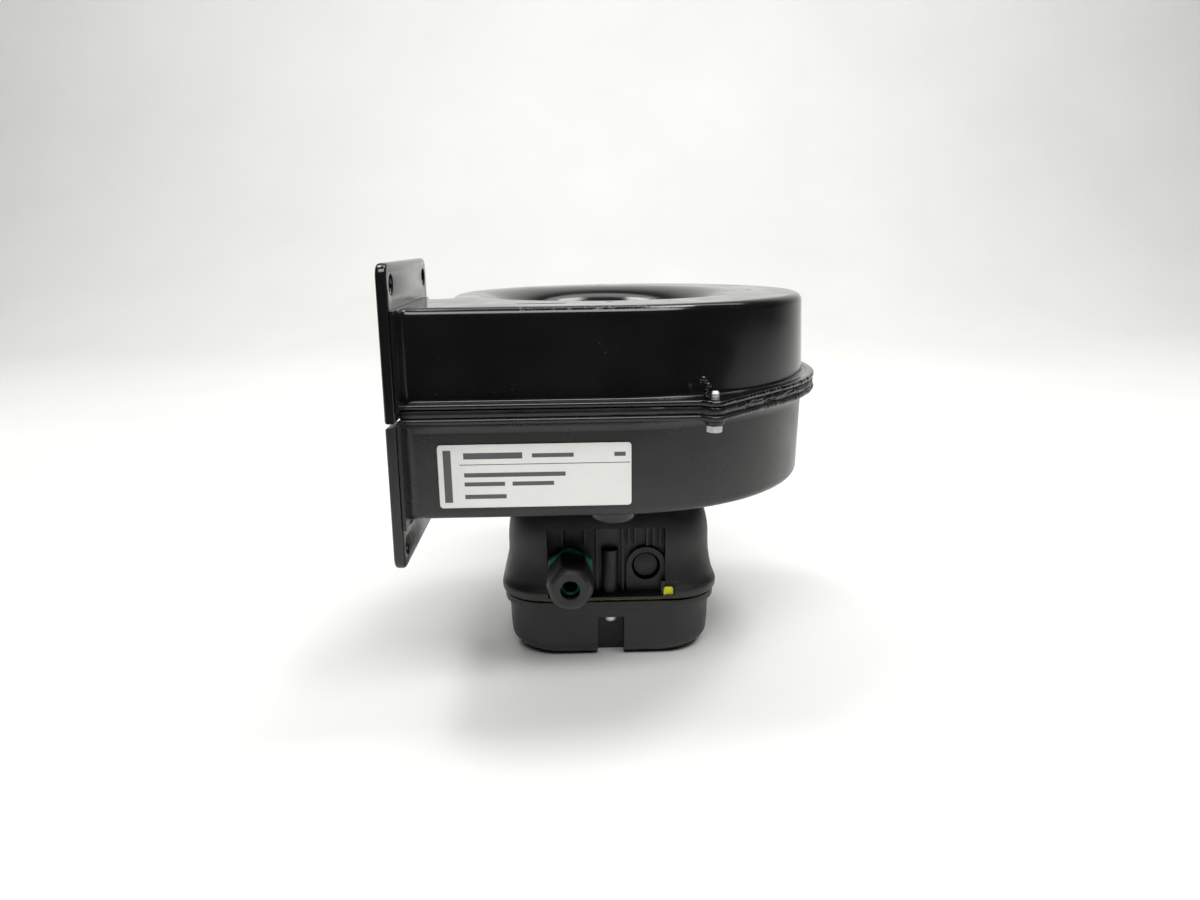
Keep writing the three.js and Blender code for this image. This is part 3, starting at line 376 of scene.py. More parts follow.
def crimp(station, row):
    """The rim's shallow dents: slight along the straight side, deeper round the bend, where it is crimped."""
    x, y = station[0], station[1]
    bend = min(max((x - CRIMP_START_X) / (CRIMP_FULL_X - CRIMP_START_X), 0.0), 1.0)
    along = math.atan2(y, x) * 110 if x > 0 else x
    wide = noise.noise(Vector((along * 0.16, row * 3.1, 4.0)))
    narrow = noise.noise(Vector((along * 0.45, row, 9.0)))
    return (0.05 + 0.7 * bend) * min(wide + 0.8 * narrow - 0.3, 0.0)


def sweep(stations, profile_of):
    """A closed profile of (offset, height) carried along the stations, with its two ends filled."""
    shape = Shape()
    rows = []
    for i, s in enumerate(stations):
        x, y, nx, ny = s[:4]
        rows.append([(x + nx * d, y + ny * d, z) for d, z in profile_of(i, s)])
    made = shape.grid(rows, closed=True)
    shape.fill([made[0]])
    shape.fill([made[-1]])
    return shape


def edge_turn(z0, z1, half, reach, station, row):
    """The rim's rolled outer edge, from its lower face round to its upper face."""
    uneven = crimp(station, row)
    middle_z = (z0 + z1) / 2
    return [(reach - half + (half + uneven) * math.cos(a), middle_z + half * math.sin(a))
            for a in turns(8, -QUARTER, QUARTER)]


def upper_rim(stations, reaches):
    z0, z1 = UPPER_RIM_Z
    half = (z1 - z0) / 2

    def profile(i, s):
        reach = reaches[i]
        turn = [(UPPER_FOOT_R * (1 - math.cos(a)) - BITE, z1 - HEM_STEP + UPPER_FOOT_R * (1 - math.sin(a)))
                for a in turns(4, 0, QUARTER)]
        hem = reach - min(HEM, reach * 0.62)
        return (
            [(-SHEET, z0)]
            + edge_turn(z0, z1, half, reach, s, 0)
            + [(hem + 0.5, z1), (hem, z1 - 0.1), (hem - 0.3, z1 - HEM_STEP)]
            + turn[::-1]
            + [(-SHEET, z1 + UPPER_FOOT_R)]
        )

    return sweep(stations, profile)


def lower_rim(stations, reaches):
    z0, z1 = LOWER_RIM_Z
    half = (z1 - z0) / 2
    least = LOWER_FOOT_R + half + BITE
    fillet = [(LOWER_FOOT_R * (1 - math.cos(a)) - BITE, z0 - LOWER_FOOT_R * (1 - math.sin(a)))
              for a in turns(6, 0, QUARTER)]

    def profile(i, s):
        edge = edge_turn(z0, z1, half, max(reaches[i], least), s, 7)
        return [(-SHEET, z0 - LOWER_FOOT_R)] + fillet + edge + [(-SHEET, z1)]

    return sweep(stations, profile)


# ---------- shells ----------
def edge_levels(sign, end_z, start_z, thickness):
    """(offset, height) up a drawn wall and over its rounded edge, ending on a narrow flat."""
    r = EDGE_R - thickness
    end = end_z - sign * thickness
    levels = [(-thickness - DRAFT * t, start_z + (end - sign * r - start_z) * t) for t in (0, 0.33, 0.67, 1)]
    for k in range(1, 9):
        a = math.pi / 2 * k / 8
        levels.append((-thickness - DRAFT - r * (1 - math.cos(a)), end - sign * r * (1 - math.sin(a))))
    levels.append((levels[-1][0] - 0.8, end))
    return levels


def drawn_shell(sign, end_z, start_z, hole_loops, grooves=()):
    """A drawn sheet shell: its wall with lips, its end plate with holes, and its inside. hole_loops are the
    (plan, walled) of the holes in the end plate, and grooves the (plan, depth) of what is pressed into it."""
    shape = Shape()
    stations = wall_stations()

    rows = {}
    for inside, thickness in ((False, 0.0), (True, SHEET)):
        rows[inside] = []
        for offset, z in edge_levels(sign, end_z, start_z, thickness):
            row = []
            for x, y, nx, ny, k in stations:
                d = (offset + thickness) * k - thickness
                row.append((x + nx * d, y + ny * d, z))
            rows[inside].append(row)
    outer = shape.grid(rows[False])
    inner = shape.grid(rows[True])
    shape.strip(outer[0], inner[0])
    corners = shape.add([(SHELL_END_X, rows[False][-1][end][1], end_z) for end in (0, -1)])
    for end, corner in ((0, corners[0]), (-1, corners[1])):
        side = [row[end] for row in outer] + [corner] + [row[end] for row in inner][::-1]
        shape.fill([side])
    shape.faces.append((corners[0], corners[1], inner[-1][-1], inner[-1][0]))
    outer_holes, inner_holes = [], []
    for plan, depth in grooves:
        edge = shape.add([(x, y, end_z) for x, y in plan])
        floor = shape.add([(x, y, end_z - sign * depth) for x, y in plan])
        outer_holes.append(edge)
        shape.strip(edge, floor, closed=True)
        shape.fill([floor])
    for plan, walled in hole_loops:
        top = shape.add([(x, y, end_z) for x, y in plan])
        under = shape.add([(x, y, end_z - sign * SHEET) for x, y in plan])
        outer_holes.append(top)
        inner_holes.append(under)
        if walled:
            shape.strip(top, under, closed=True)
    shape.fill([outer[-1] + [corners[1], corners[0]]] + outer_holes)
    shape.fill([inner[-1]] + inner_holes)
    return shape


def inlet_bell():
    """The bell mouth from the top face down into the wheel's eye: a turned sheet, open at its upper edge."""
    centre_z = TOP_Z - BELL_HEIGHT
    outer_r = THROAT_R + BELL_WIDTH
    face = [(outer_r + BELL_FLAT, TOP_Z)]
    back = [(outer_r + BELL_FLAT, TOP_Z - SHEET)]
    for a in turns(14, QUARTER, math.pi):
        for side, skin in ((face, 0.0), (back, SHEET)):
            across, up = (BELL_WIDTH - skin) * math.cos(a), (BELL_HEIGHT - skin) * math.sin(a)
            side.append((outer_r + across, centre_z + up))
    face += [(THROAT_R, BELL_END_Z + 0.5), (THROAT_R + 0.3, BELL_END_Z + 0.1)]
    back += [(THROAT_R + SHEET, BELL_END_Z + 0.5), (THROAT_R + SHEET - 0.3, BELL_END_Z + 0.1)]
    shape = Shape()
    rows = [[(x, y, z) for x, y in circle(0, 0, r, BELL_SEGMENTS)] for r, z in face + back[::-1]]
    shape.grid(rows, closed=True)
    return shape


def groove_loop():
    (x0, x1), y, w = GROOVE_X, GROOVE_Y, GROOVE_WIDTH / 2
    return [(x0, y - w), (x1, y - w), (x1 + w, y), (x1, y + w), (x0, y + w), (x0 - w, y)]


def ear(place, r, z0, z1):
    """The round plate a seam screw goes through."""
    return slab(circle(*place, r, 40), [circle(*place, SCREW_HOLE_R, 20)], z0, z1, 1.2)


def upper_shell(material, stations, reaches):
    holes = [(circle(0, 0, THROAT_R + BELL_WIDTH + BELL_FLAT, BELL_SEGMENTS), False)]
    for a in (-QUARTER, 0, QUARTER):
        guard_hole = circle(GUARD_CIRCLE_R * math.cos(a), GUARD_CIRCLE_R * math.sin(a), GUARD_HOLE_R, 20)
        holes.append((guard_hole, True))
    shape = drawn_shell(1, TOP_Z, UPPER_RIM_Z[0], holes, [(groove_loop(), GROOVE_DEPTH)])
    shape.join(inlet_bell())
    shape.join(upper_rim(stations, reaches))
    shape.join(ear(EARS[3], EAR_R, *UPPER_RIM_Z))
    return piece("upper_shell_sheet", shape, material, ["upper_scroll_shell"])


def pressed_foot():
    """The round boss pressed down from the lower shell's bottom, near the front."""
    r, low, flat_r = FOOT_R, BOTTOM_Z - FOOT_DEPTH, FOOT_R - 9.9
    outside = [(FOOT_EDGE_R, BOTTOM_Z), (r + 0.3, BOTTOM_Z - 0.3), (r, BOTTOM_Z - 1.3), (r - 0.5, low + 2.4),
               (r - 1.1, low + 1.1), (r - 2.2, low + 0.3), (r - 3.6, low)]
    inside = [(radius - 1.3, z + SHEET) for radius, z in outside[1:]]
    face = [(flat_r, low)] + outside[::-1]
    back = [(FOOT_EDGE_R, BOTTOM_Z + SHEET)] + inside + [(flat_r, low + SHEET)]
    shape = Shape()
    for profile, middle_row in ((face, 0), (back, -1)):
        rows = [[(x, y, z) for x, y in circle(*FOOT_PLACE, radius, 48)] for radius, z in profile]
        shape.faces.append(tuple(shape.grid(rows, closed=True)[middle_row]))
    return shape


def lower_shell(material, stations, reaches):
    holes = [(circle(0, 0, MOTOR_OPENING_R, 120), True), (circle(*FOOT_PLACE, FOOT_EDGE_R, 48), False)]
    holes += [(circle(*middle(box_mm(f"plate_screw_{i}")), SCREW_HOLE_R, 20), True) for i in (1, 2, 3, 4)]
    shape = drawn_shell(-1, BOTTOM_Z, LOWER_RIM_Z[1], holes)
    shape.join(pressed_foot())
    shape.join(lower_rim(stations, reaches))
    for place in EARS:
        shape.join(ear(place, EAR_FOOT_R, EAR_BOTTOM, LOWER_RIM_Z[0] + 1.3))
    shape.join(ear(EARS[3], EAR_R, *LOWER_RIM_Z))
    return piece("lower_shell_sheet", shape, material, ["lower_scroll_shell"])


def gasket(material, stations, reaches):
    z0, z1 = GASKET_LOW[2], GASKET_HIGH[2]

    def profile(i, s):
        out = reaches[i] - GASKET_INSET
        made = [(-SHEET + 0.1, z0), (out - 0.6, z0)]
        for k in range(7):
            t = k / 6
            swell = 0.45 * math.sin(math.pi * t) + crimp(s, 3 + t)
            made.append((out - 0.25 + swell, z0 + (z1 - z0) * (0.06 + 0.88 * t)))
        return made + [(out - 0.6, z1), (-SHEET + 0.1, z1)]

    return piece("seam_gasket_strip", sweep(stations, profile), material, ["seam_gasket"])


# ---------- flange ----------
FLANGE_EDGE_R = 1.5
FLANGE_CORNER_R = 6.0
BOLT_R = 4.0
BOLT_INSET = 9.8
MOUTH_Y = (-107.0, -41.0)
MOUTH_Z = (100.0, 197.0)


def flange_half(upper, material):
    low, high = (FLANGE_LOW, FLANGE_HIGH) if upper else FLANGE_BOTTOM
    sign = 1 if upper else -1
    seam_z, end_z = (low[2], high[2]) if upper else (high[2], low[2])
    mouth_z = MOUTH_Z[1] if upper else MOUTH_Z[0]
    y0, y1 = low[1], high[1]
    outline = [(MOUTH_Y[1], seam_z), (y1, seam_z)]
    r, corner = FLANGE_CORNER_R, turns(8, 0, QUARTER)
    outline += [(y1 - r + r * math.cos(a), end_z - sign * (r - r * math.sin(a))) for a in corner]
    outline += [(y0 + r - r * math.sin(a), end_z - sign * (r - r * math.cos(a))) for a in corner]
    outline += [(y0, seam_z), (MOUTH_Y[0], seam_z), (MOUTH_Y[0], mouth_z), (MOUTH_Y[1], mouth_z)]
    bolts = [circle(y, end_z - sign * BOLT_INSET, BOLT_R, 36) for y in (y0 + BOLT_INSET, y1 - BOLT_INSET)]
    shape = slab(outline, bolts, 0.0, high[0] - low[0], FLANGE_EDGE_R)
    # The plan's x runs along Y and its y along Z, and its thickness along X.
    turn = Matrix(((0, 0, 1, low[0]), (1, 0, 0, 0), (0, 1, 0, 0), (0, 0, 0, 1)))
    name = "upper" if upper else "lower"
    return piece(f"{name}_flange_rounded", shape.moved(turn), material, [f"{name}_flange_plate"])


def bead(name, route, r, material, body="housing"):
    """An uneven bead of weld along a route, under the paint."""
    shape = Shape()
    rows = []
    steps = 28
    for i in range(steps + 1):
        t = i / steps * (len(route) - 1)
        k = min(int(t), len(route) - 2)
        here = Vector(route[k]).lerp(Vector(route[k + 1]), t - k)
        ahead = (Vector(route[k + 1]) - Vector(route[k])).normalized()
        side = ahead.cross(Vector((0, 0, 1)) if abs(ahead.z) < 0.9 else Vector((1, 0, 0))).normalized()
        up = side.cross(ahead)
        swell = r * (0.82 + 0.28 * abs(math.sin(i * 0.9)) + 0.12 * noise.noise(Vector((i * 0.7, r, 2.0))))
        swell *= math.sin(math.pi * (0.12 + 0.76 * i / steps)) ** 0.5
        rows.append([here + (side * math.cos(a) + up * math.sin(a)) * swell for a in turns(14)])
    made = shape.grid(rows, closed=True)
    shape.faces += [tuple(made[0]), tuple(made[-1])]
    return piece(name, shape, material, body=body, sharp=80)


def weld_beads(gloss, satin):
    x = FLANGE_HIGH[0] + 0.6
    top, bottom = UPPER_RIM_Z[1], LOWER_RIM_Z[0]
    for place, y, out in (("near", ARC_NEAR[1] - ARC_NEAR[2], -1), ("far", DUCT_FAR_Y, 1)):
        near, rim, lip, wall = (y + out * away for away in (2, RIM_WIDTH, 9, -5))
        route = [(x, lip, BOTTOM_Z + 1.2), (x, near, BOTTOM_Z + 0.6), (x + 0.6, wall, BOTTOM_Z)]
        bead(f"weld_bottom_{place}", route, 1.3, satin)
        route = [(x + 0.4, near, top + 0.5), (x + 0.4, rim, top + 0.3)]
        bead(f"weld_rim_top_{place}", route, 1.1, gloss)
        route = [(x + 0.4, near, bottom - 0.6), (x + 0.4, rim, bottom - 0.4)]
        bead(f"weld_rim_bottom_{place}", route, 1.1, satin)


# ---------- screws ----------
def hex_radius(angle, flats):
    return flats / 2 / math.cos((angle % (math.pi / 3)) - math.pi / 6)


def hex_head(flats, z0, z1, turn, segments=72):
    """A hexagonal head from z0 up to z1, with the curved edges that the chamfer below leaves."""
    shape = Shape()
    slope = math.tan(math.radians(28))
    flat_r = flats / 2 * 0.9
    rows = [[], [], [], []]
    for a in turns(segments):
        r = hex_radius(a, flats)
        drop = max(0.0, (r - flat_r) * slope)
        inner = min(r, flat_r)
        for row, (radius, z) in zip(rows, ((inner, z0), (r, z0 + drop), (r, z1), (inner, z1))):
            row.append((radius * math.cos(a + turn), radius * math.sin(a + turn), z))
    made = shape.grid(rows, closed=True)
    shape.fill([made[0]])
    shape.fill([made[-1]])
    return shape


def thread(r, z0, z1, pitch=0.7, segments=32):
    """A screw's shank with its thread, as close rings."""
    profile = [(0.0, z0), (r - 0.3, z0)]
    z, root = z0, r - 0.32
    turn = ((root, 0.05), (r, 0.45), (r, 0.6), (root, 0.95))
    while z < z1 - pitch:
        profile += [(radius, z + pitch * up) for radius, up in turn]
        z += pitch
    profile += [(r - 0.3, z1 - 0.35), (r - 0.75, z1), (0.0, z1)]
    return lathe(profile, segments, closed=False)


def hex_screw(node, material):
    low, high = box_mm(node)
    top = low[2] + SCREW_HEAD_H
    neck_r = SCREW_R - 0.05
    neck = [(0.0, top - 0.3), (neck_r, top - 0.3), (neck_r, top + 1), (0.0, top + 1)]
    shape = hex_head(SCREW_FLATS, low[2], top, random.uniform(0, 1))
    shape.join(lathe(neck, 24, closed=False))
    shape.join(thread(SCREW_R, top + 0.6, high[2]))
    shape.moved(Matrix.Translation((*middle((low, high)), 0)))
    return piece(f"{node}_threaded", shape, material, [node], sharp=28)


# ---------- solids joined and cut ----------
def carved(base, steps, bevel=0.0):
    """A closed shape with others joined to it ("+") or cut from it ("-"), then its sharp edges rounded."""
    made = []
    for shape in [base] + [tool for _, tool in steps]:
        mesh = bpy.data.meshes.new("work")
        mesh.from_pydata(shape.points, [], shape.faces)
        clean_up(mesh)
        made.append(bpy.data.objects.new("work", mesh))
        bpy.context.scene.collection.objects.link(made[-1])
    for (sign, _), tool in zip(steps, made[1:]):
        modifier = made[0].modifiers.new("carve", "BOOLEAN")
        modifier.operation = "UNION" if sign == "+" else "DIFFERENCE"
        modifier.solver = "EXACT"
        modifier.object = tool
    if bevel:
        modifier = made[0].modifiers.new("edge", "BEVEL")
        modifier.width = bevel
        modifier.segments = 3
        modifier.limit_method = "ANGLE"
        modifier.angle_limit = math.radians(38)
    carved_object = made[0].evaluated_get(bpy.context.evaluated_depsgraph_get())
    mesh = bpy.data.meshes.new_from_object(carved_object)
    shape = Shape()
    shape.points = [tuple(v.co) for v in mesh.vertices]
    shape.faces = [tuple(face.vertices) for face in mesh.polygons]
    bpy.data.meshes.remove(mesh)
    for work in made:
        bpy.data.meshes.remove(work.data)
    return shape


def block(x, y, z):
    shape = Shape()
    corners = [(x[0], y[0]), (x[1], y[0]), (x[1], y[1]), (x[0], y[1])]
    made = shape.grid([[(cx, cy, h) for cx, cy in corners] for h in z], closed=True)
    shape.faces += [tuple(made[0]), tuple(made[1])]
    return shape


def pillar(x, y, r, z0, z1, segments=40):
    return lathe([(0.0, z0), (r, z0), (r, z1), (0.0, z1)], segments, closed=False, centre=(x, y))


def stack(loops):
    """Closed loops of (x, y, z), one above another, skinned and filled at both ends."""
    shape = Shape()
    made = shape.grid(loops, closed=True)
    shape.fill([made[0]])
    shape.fill([made[-1]])
    return shape


def along_entry(shape, x):
    """Lays a shape made about the vertical along Y, its upper end towards -Y, at a cable entry."""
    return shape.moved(Matrix(((1, 0, 0, x), (0, 0, -1, 0), (0, 1, 0, ENTRY_Z), (0, 0, 0, 1))))


# ---------- terminal box ----------
BOX_CORNER_R = 25.0
BOX_WALL = 2.5
# Levels are (half width, height).
BODY_LEVELS = [(60, 36), (60.4, 37.5), (60.4, 40.5), (58.6, 45),
               (56.7, 56), (56.1, 71), (53.2, 81.5), (45.5, 89)]
BODY_INSIDE = [(60, 34)] + BODY_LEVELS[1:-1] + [(48, 86.5)]
COVER_LEVELS = [(46, 0), (51, 1.7), (54.6, 5.5), (56.2, 11), (57, 28.5), (59, 30.6), (59, 34.2)]
COVER_INSIDE = [(48, 2.5), (52, 4.5), (55, 8), (56.2, 12), (57, 28.5), (59, 30.6), (59, 37)]
OUTSIDE_Y = -75.0  # clear of the box's near side
NECK_R = 46.0
NECK_TOP = 95.5
PANEL_Y = -49.0
PANEL_X = (-34.2, 30.0)
PANEL_Z = (37.6, 75.0)
PANEL_FOOT = PANEL_Z[0] - 0.5
GLAND_X, BLANK_X, ENTRY_Z = -21.8, 19.8, 52.3
ENTRY_BOSS_R = 10.8
GLAND_BOSS_OUT, BLANK_BOSS_OUT = 6.9, 3.4
GLAND_HOLE_R, BLANK_HOLE_R, BLANK_DISC_R, BLANK_DISC_SUNK = 8.1, 7.9, 6.7, 2.4
ENTRY_DEPTH = (41, 57)  # how far in and out the entry holes are cut
SHORT_RIB_X, LONG_RIB_X = (-26, -13.5, 10.5, 14, 20.5, 24, 27.5), (-7, 7)
RIB_T, RIB_OUT, RIB_BOTTOM = 1.2, 3.5, 64.0
POST_Y, POST_R, POST_TOP = 50.5, 4.6, 62.0
NOTCH_HALF, NOTCH_TOP, NOTCH_Y = 7.3, 24.3, -44.0
SEAL_Z = (34.5, 35.7)
SEAL_HALF = (53.5, 57.3)
TAB_X, TAB_Y, TAB_TOP = (29.0, 34.2), (-59.2, -58.0), 42.5
TAB_WINDOW_BOTTOM = 38.2


def square_loop(half, r, z=0.0):
    """A square with round corners, anticlockwise, with points along its sides too."""
    c = half - r
    made = []
    for corner, (sx, sy) in enumerate(((1, -1), (1, 1), (-1, 1), (-1, -1))):
        for k in range(13):
            a = math.pi / 2 * (corner - 1 + k / 12)
            made.append((sx * c + r * math.cos(a), sy * c + r * math.sin(a), z))
        x0, y0, _ = made[-1]
        for k in range(1, 6):
            made.append(along_side(x0, y0, corner, 2 * c * k / 6, z))
    return made


def along_side(x, y, corner, run, z):
    dx, dy = ((0, 1), (-1, 0), (0, -1), (1, 0))[corner]
    return x + dx * run, y + dy * run, z


def eased(levels, parts=5):
    """Levels of (half width, height) along a smooth curve through the given ones."""
    made = []
    for i in range(len(levels) - 1):
        a, b, c, d = (Vector(levels[min(max(k, 0), len(levels) - 1)]) for k in (i - 1, i, i + 1, i + 2))
        for k in range(parts):
            t = k / parts
            square, cube = a * 2 - b * 5 + c * 4 - d, b * 3 - a - c * 3 + d
            made.append((b * 2 + (c - a) * t + square * t**2 + cube * t**3) / 2)
    return [tuple(v) for v in made] + [levels[-1]]


def cushion(levels, inset_by=0.0):
    return stack([square_loop(half - inset_by, BOX_CORNER_R - inset_by, z) for half, z in eased(levels)])


def arch(x, out):
    """The boss around a cable entry: round above, straight down to the panel's lower edge."""
    bottom, r = PANEL_FOOT - ENTRY_Z, ENTRY_BOSS_R
    outline = [(r * math.cos(a), r * math.sin(a)) for a in turns(24, 0, math.pi)]
    outline += [(-r, bottom), (r, bottom)]
    levels = (-PANEL_Y - 0.5, -PANEL_Y + out)
    return along_entry(stack([[(px, py, z) for px, py in outline] for z in levels]), x)


def box_body(material):
    near, top, shoulder = PANEL_Y + BOX_WALL, PANEL_Z[1] + BOX_WALL, BODY_LEVELS[-1][1]
    back = block((PANEL_X[0] - BOX_WALL, PANEL_X[1] + BOX_WALL), (OUTSIDE_Y, near), (30, top))
    steps = [
        ("+", pillar(0, 0, NECK_R, shoulder - 3, NECK_TOP, 96)),
        ("-", block(PANEL_X, (OUTSIDE_Y, PANEL_Y), PANEL_Z)),
        ("-", carved(cushion(BODY_INSIDE, BOX_WALL), [("-", back)])),
        ("-", pillar(0, 0, NECK_R - 3, shoulder - 5, NECK_TOP + 1, 96)),
        ("+", arch(BLANK_X, BLANK_BOSS_OUT)),
        ("+", arch(GLAND_X, GLAND_BOSS_OUT)),
        ("+", pillar(0, -POST_Y, POST_R, 36, POST_TOP)),
        ("+", pillar(0, POST_Y, POST_R, 36, POST_TOP)),
    ]
    for x in SHORT_RIB_X + LONG_RIB_X:
        rib_z = (PANEL_FOOT if x in LONG_RIB_X else RIB_BOTTOM, PANEL_Z[1] + 0.5)
        steps.append(("+", block((x - RIB_T / 2, x + RIB_T / 2), (PANEL_Y - RIB_OUT, PANEL_Y + 0.5), rib_z)))
    (x0, x1), (y0, y1) = TAB_X, TAB_Y
    steps += [
        ("+", block((x0 - 1.2, x1 + 3), (y1 - 0.5, y1 + 3), (36.3, TAB_TOP + 3))),
        ("-", block((x0 - 0.3, x1 + 0.3), (y0 - 0.3, y1 + 0.3), (30, TAB_TOP))),
        ("-", block((x0 - 0.6, x1 + 0.6), (OUTSIDE_Y, y1 + 0.3), (TAB_WINDOW_BOTTOM, TAB_TOP + 0.9))),
        ("-", along_entry(pillar(0, 0, BLANK_HOLE_R, *ENTRY_DEPTH, 56), BLANK_X)),
        ("-", along_entry(pillar(0, 0, GLAND_HOLE_R, *ENTRY_DEPTH, 56), GLAND_X)),
    ]
    shape = carved(cushion(BODY_LEVELS), steps, bevel=0.45)
    return piece("terminal_box_moulded", shape, material, ["terminal_box_body"], sharp=40)


def notch(side, wall):
    """The hollow in the cover's side around a screw, grown by a wall's thickness."""
    y = sorted((side * (-NOTCH_Y - wall), side * -OUTSIDE_Y))
    return block((-NOTCH_HALF - wall, NOTCH_HALF + wall), y, (-5, NOTCH_TOP + wall))


def box_cover(material):
    cavity = carved(cushion(COVER_INSIDE, BOX_WALL), [("-", notch(-1, BOX_WALL)), ("-", notch(1, BOX_WALL))])
    steps = [("-", cavity), ("-", notch(-1, 0)), ("-", notch(1, 0))]
    steps += [("-", pillar(0, side * POST_Y, SCREW_HOLE_R, 10, 40)) for side in (-1, 1)]
    shape = carved(cushion(COVER_LEVELS), steps, bevel=0.5)
    return piece("terminal_cover_moulded", shape, material, ["terminal_box_cover"], sharp=40)


def box_seal(material):
    z0, z1 = SEAL_Z
    levels = ((SEAL_HALF[1] - 0.3, z0), (SEAL_HALF[1], (z0 + z1) / 2), (SEAL_HALF[1] - 0.3, z1))
    outer = stack([square_loop(half, BOX_CORNER_R, z) for half, z in levels])
    inner = stack([square_loop(SEAL_HALF[0], BOX_CORNER_R - 4, z) for z in (z0 - 1, z1 + 1)])
    width, x = (TAB_X[1] - TAB_X[0]) / 2, (TAB_X[0] + TAB_X[1]) / 2
    crown = [(x + width * math.copysign(abs(math.cos(a)) ** 0.6, math.cos(a)),
              TAB_TOP - width + width * abs(math.sin(a)) ** 0.7) for a in turns(20, 0, math.pi)]
    plan = [(x + width, z0)] + crown + [(x - width, z0)]
    tab = stack([[(px, y, pz) for px, pz in plan] for y in TAB_Y])
    root = block(TAB_X, (TAB_Y[0], -56.5), (z0, z1))
    holes = [("-", pillar(0, side * POST_Y, SCREW_HOLE_R, 30, 40)) for side in (-1, 1)]
    shape = carved(outer, [("-", inner), ("+", root), ("+", tab)] + holes, bevel=0.22)
    return piece("terminal_seal_moulded", shape, material, ["terminal_box_seal"], sharp=40)


def cover_screw(name, side, material):
    """A pan-head screw with a cross in its head, which points down."""
    head = NOTCH_TOP - 0.3
    profile = [(0.0, head - 3.9), (2.4, head - 3.8), (3.4, head - 3.3), (4.1, head - 2.2), (4.3, head - 0.8),
               (4.3, head), (1.7, head), (1.7, POST_TOP - 8), (0.0, POST_TOP - 7)]
    steps = [("-", block((-a, a), (-b, b), (head - 5, head - 2.6))) for a, b in ((0.45, 1.8), (1.8, 0.45))]
    shape = carved(lathe(profile, 48, closed=False), steps).moved(Matrix.Translation((0, side * POST_Y, 0)))
    return piece(f"{name}_crossed", shape, material, [name], sharp=30)


# ---------- cable gland, made about the vertical ----------
GLAND_FLATS, GLAND_TURN = 22.0, math.radians(-9)
GLAND_HEX_FLATS, GLAND_HEX_H = 24.0, 4.0
GLAND_FRONT = 86.0
GLAND_FACE_R = 9.3
GLAND_CORNER_R = 12.3
GLAND_BACK = 42.6
HEX_BACK = -PANEL_Y + GLAND_BOSS_OUT + 0.3
NUT_BACK = HEX_BACK + GLAND_HEX_H + 0.3
MOUTH_R = 5.0


def ring_loop(r, z, turn, count=96):
    return [(r * math.cos(a + turn), r * math.sin(a + turn), z) for a in turns(count)]


def hex_loop(flats, limit, z, turn, count=96):
    """A hexagon whose corners are turned down to a limit radius."""
    made = []
    for a in turns(count):
        r = min(hex_radius(a, flats), limit)
        made.append((r * math.cos(a + turn), r * math.sin(a + turn), z))
    return made


def gland_piece(name, node, rows, material):
    shape = Shape()
    shape.grid(rows, closed=True, cyclic=True)
    return piece(name, along_entry(shape, GLAND_X), material, [node], sharp=26)


def gland_nut(material):
    front, dome = GLAND_FRONT, GLAND_CORNER_R - GLAND_FACE_R - 0.3
    levels = [(11.6, NUT_BACK), (GLAND_CORNER_R, NUT_BACK + 0.6)]
    for k in range(11):
        t = k / 10
        levels.append((GLAND_CORNER_R - dome * t**2.4, front - 6.0 + 5.6 * t))
    levels.append((GLAND_FACE_R - 0.3, front))
    mouth = [(MOUTH_R + 0.5, front), (MOUTH_R + 0.15, front - 0.15), (MOUTH_R, front - 0.5),
             (MOUTH_R + 0.3, front - 2.2), (6.8, front - 6), (8.1, NUT_BACK + 10), (8.1, NUT_BACK)]
    rows = [hex_loop(GLAND_FLATS, limit, z, GLAND_TURN) for limit, z in levels]
    rows += [ring_loop(r, z, GLAND_TURN) for r, z in mouth]
    return gland_piece("gland_nut_domed", "gland_nut", rows, material)


def gland_body(material):
    turn, hex_front = math.pi / 6, HEX_BACK + GLAND_HEX_H
    tail = [(7.8, GLAND_BACK), (7.8, HEX_BACK)]
    collar = [(12.4, HEX_BACK), (13.3, HEX_BACK + 0.5), (13.3, hex_front - 0.5), (12.4, hex_front)]
    neck = [(7.7, hex_front), (7.7, hex_front + 9), (5.6, hex_front + 9), (5.6, GLAND_BACK)]
    rows = [ring_loop(r, z, turn) for r, z in tail]
    rows += [hex_loop(GLAND_HEX_FLATS, limit, z, turn) for limit, z in collar]
    rows += [ring_loop(r, z, turn) for r, z in neck]
    return gland_piece("gland_body_hex", "gland_body", rows, material)


def gland_seal(material):
    front = GLAND_FRONT - 6.4
    profile = [(3.8, HEX_BACK + 6), (5.3, HEX_BACK + 6), (5.3, GLAND_FRONT - 14), (6.4, GLAND_FRONT - 13),
               (6.4, GLAND_FRONT - 8), (5.0, front - 0.2), (4.7, front), (4.1, front), (3.8, front - 0.3)]
    shape = along_entry(lathe(profile, 64), GLAND_X)
    return piece("gland_seal_moulded", shape, material, ["gland_seal"])


def blanking_disc(material):
    face = -PANEL_Y + BLANK_BOSS_OUT - BLANK_DISC_SUNK
    profile = [(0.0, -PANEL_Y - 1.5), (BLANK_DISC_R, -PANEL_Y - 1.5), (BLANK_DISC_R, face - 0.5),
               (BLANK_DISC_R - 0.15, face - 0.15), (BLANK_DISC_R - 0.5, face), (0.0, face)]
    shape = along_entry(lathe(profile, 72, closed=False), BLANK_X)
    return piece("blanking_disc_moulded", shape, material, ["blanking_disc"])


# ---------- type plate ----------
LOWER_WALL_H = 39.1
LABEL_LEAN = math.atan(DRAFT / LOWER_WALL_H)  # the label leans with the wall it is stuck on
LABEL_HALF_T, LABEL_CORNER_R = 0.2, 1.6


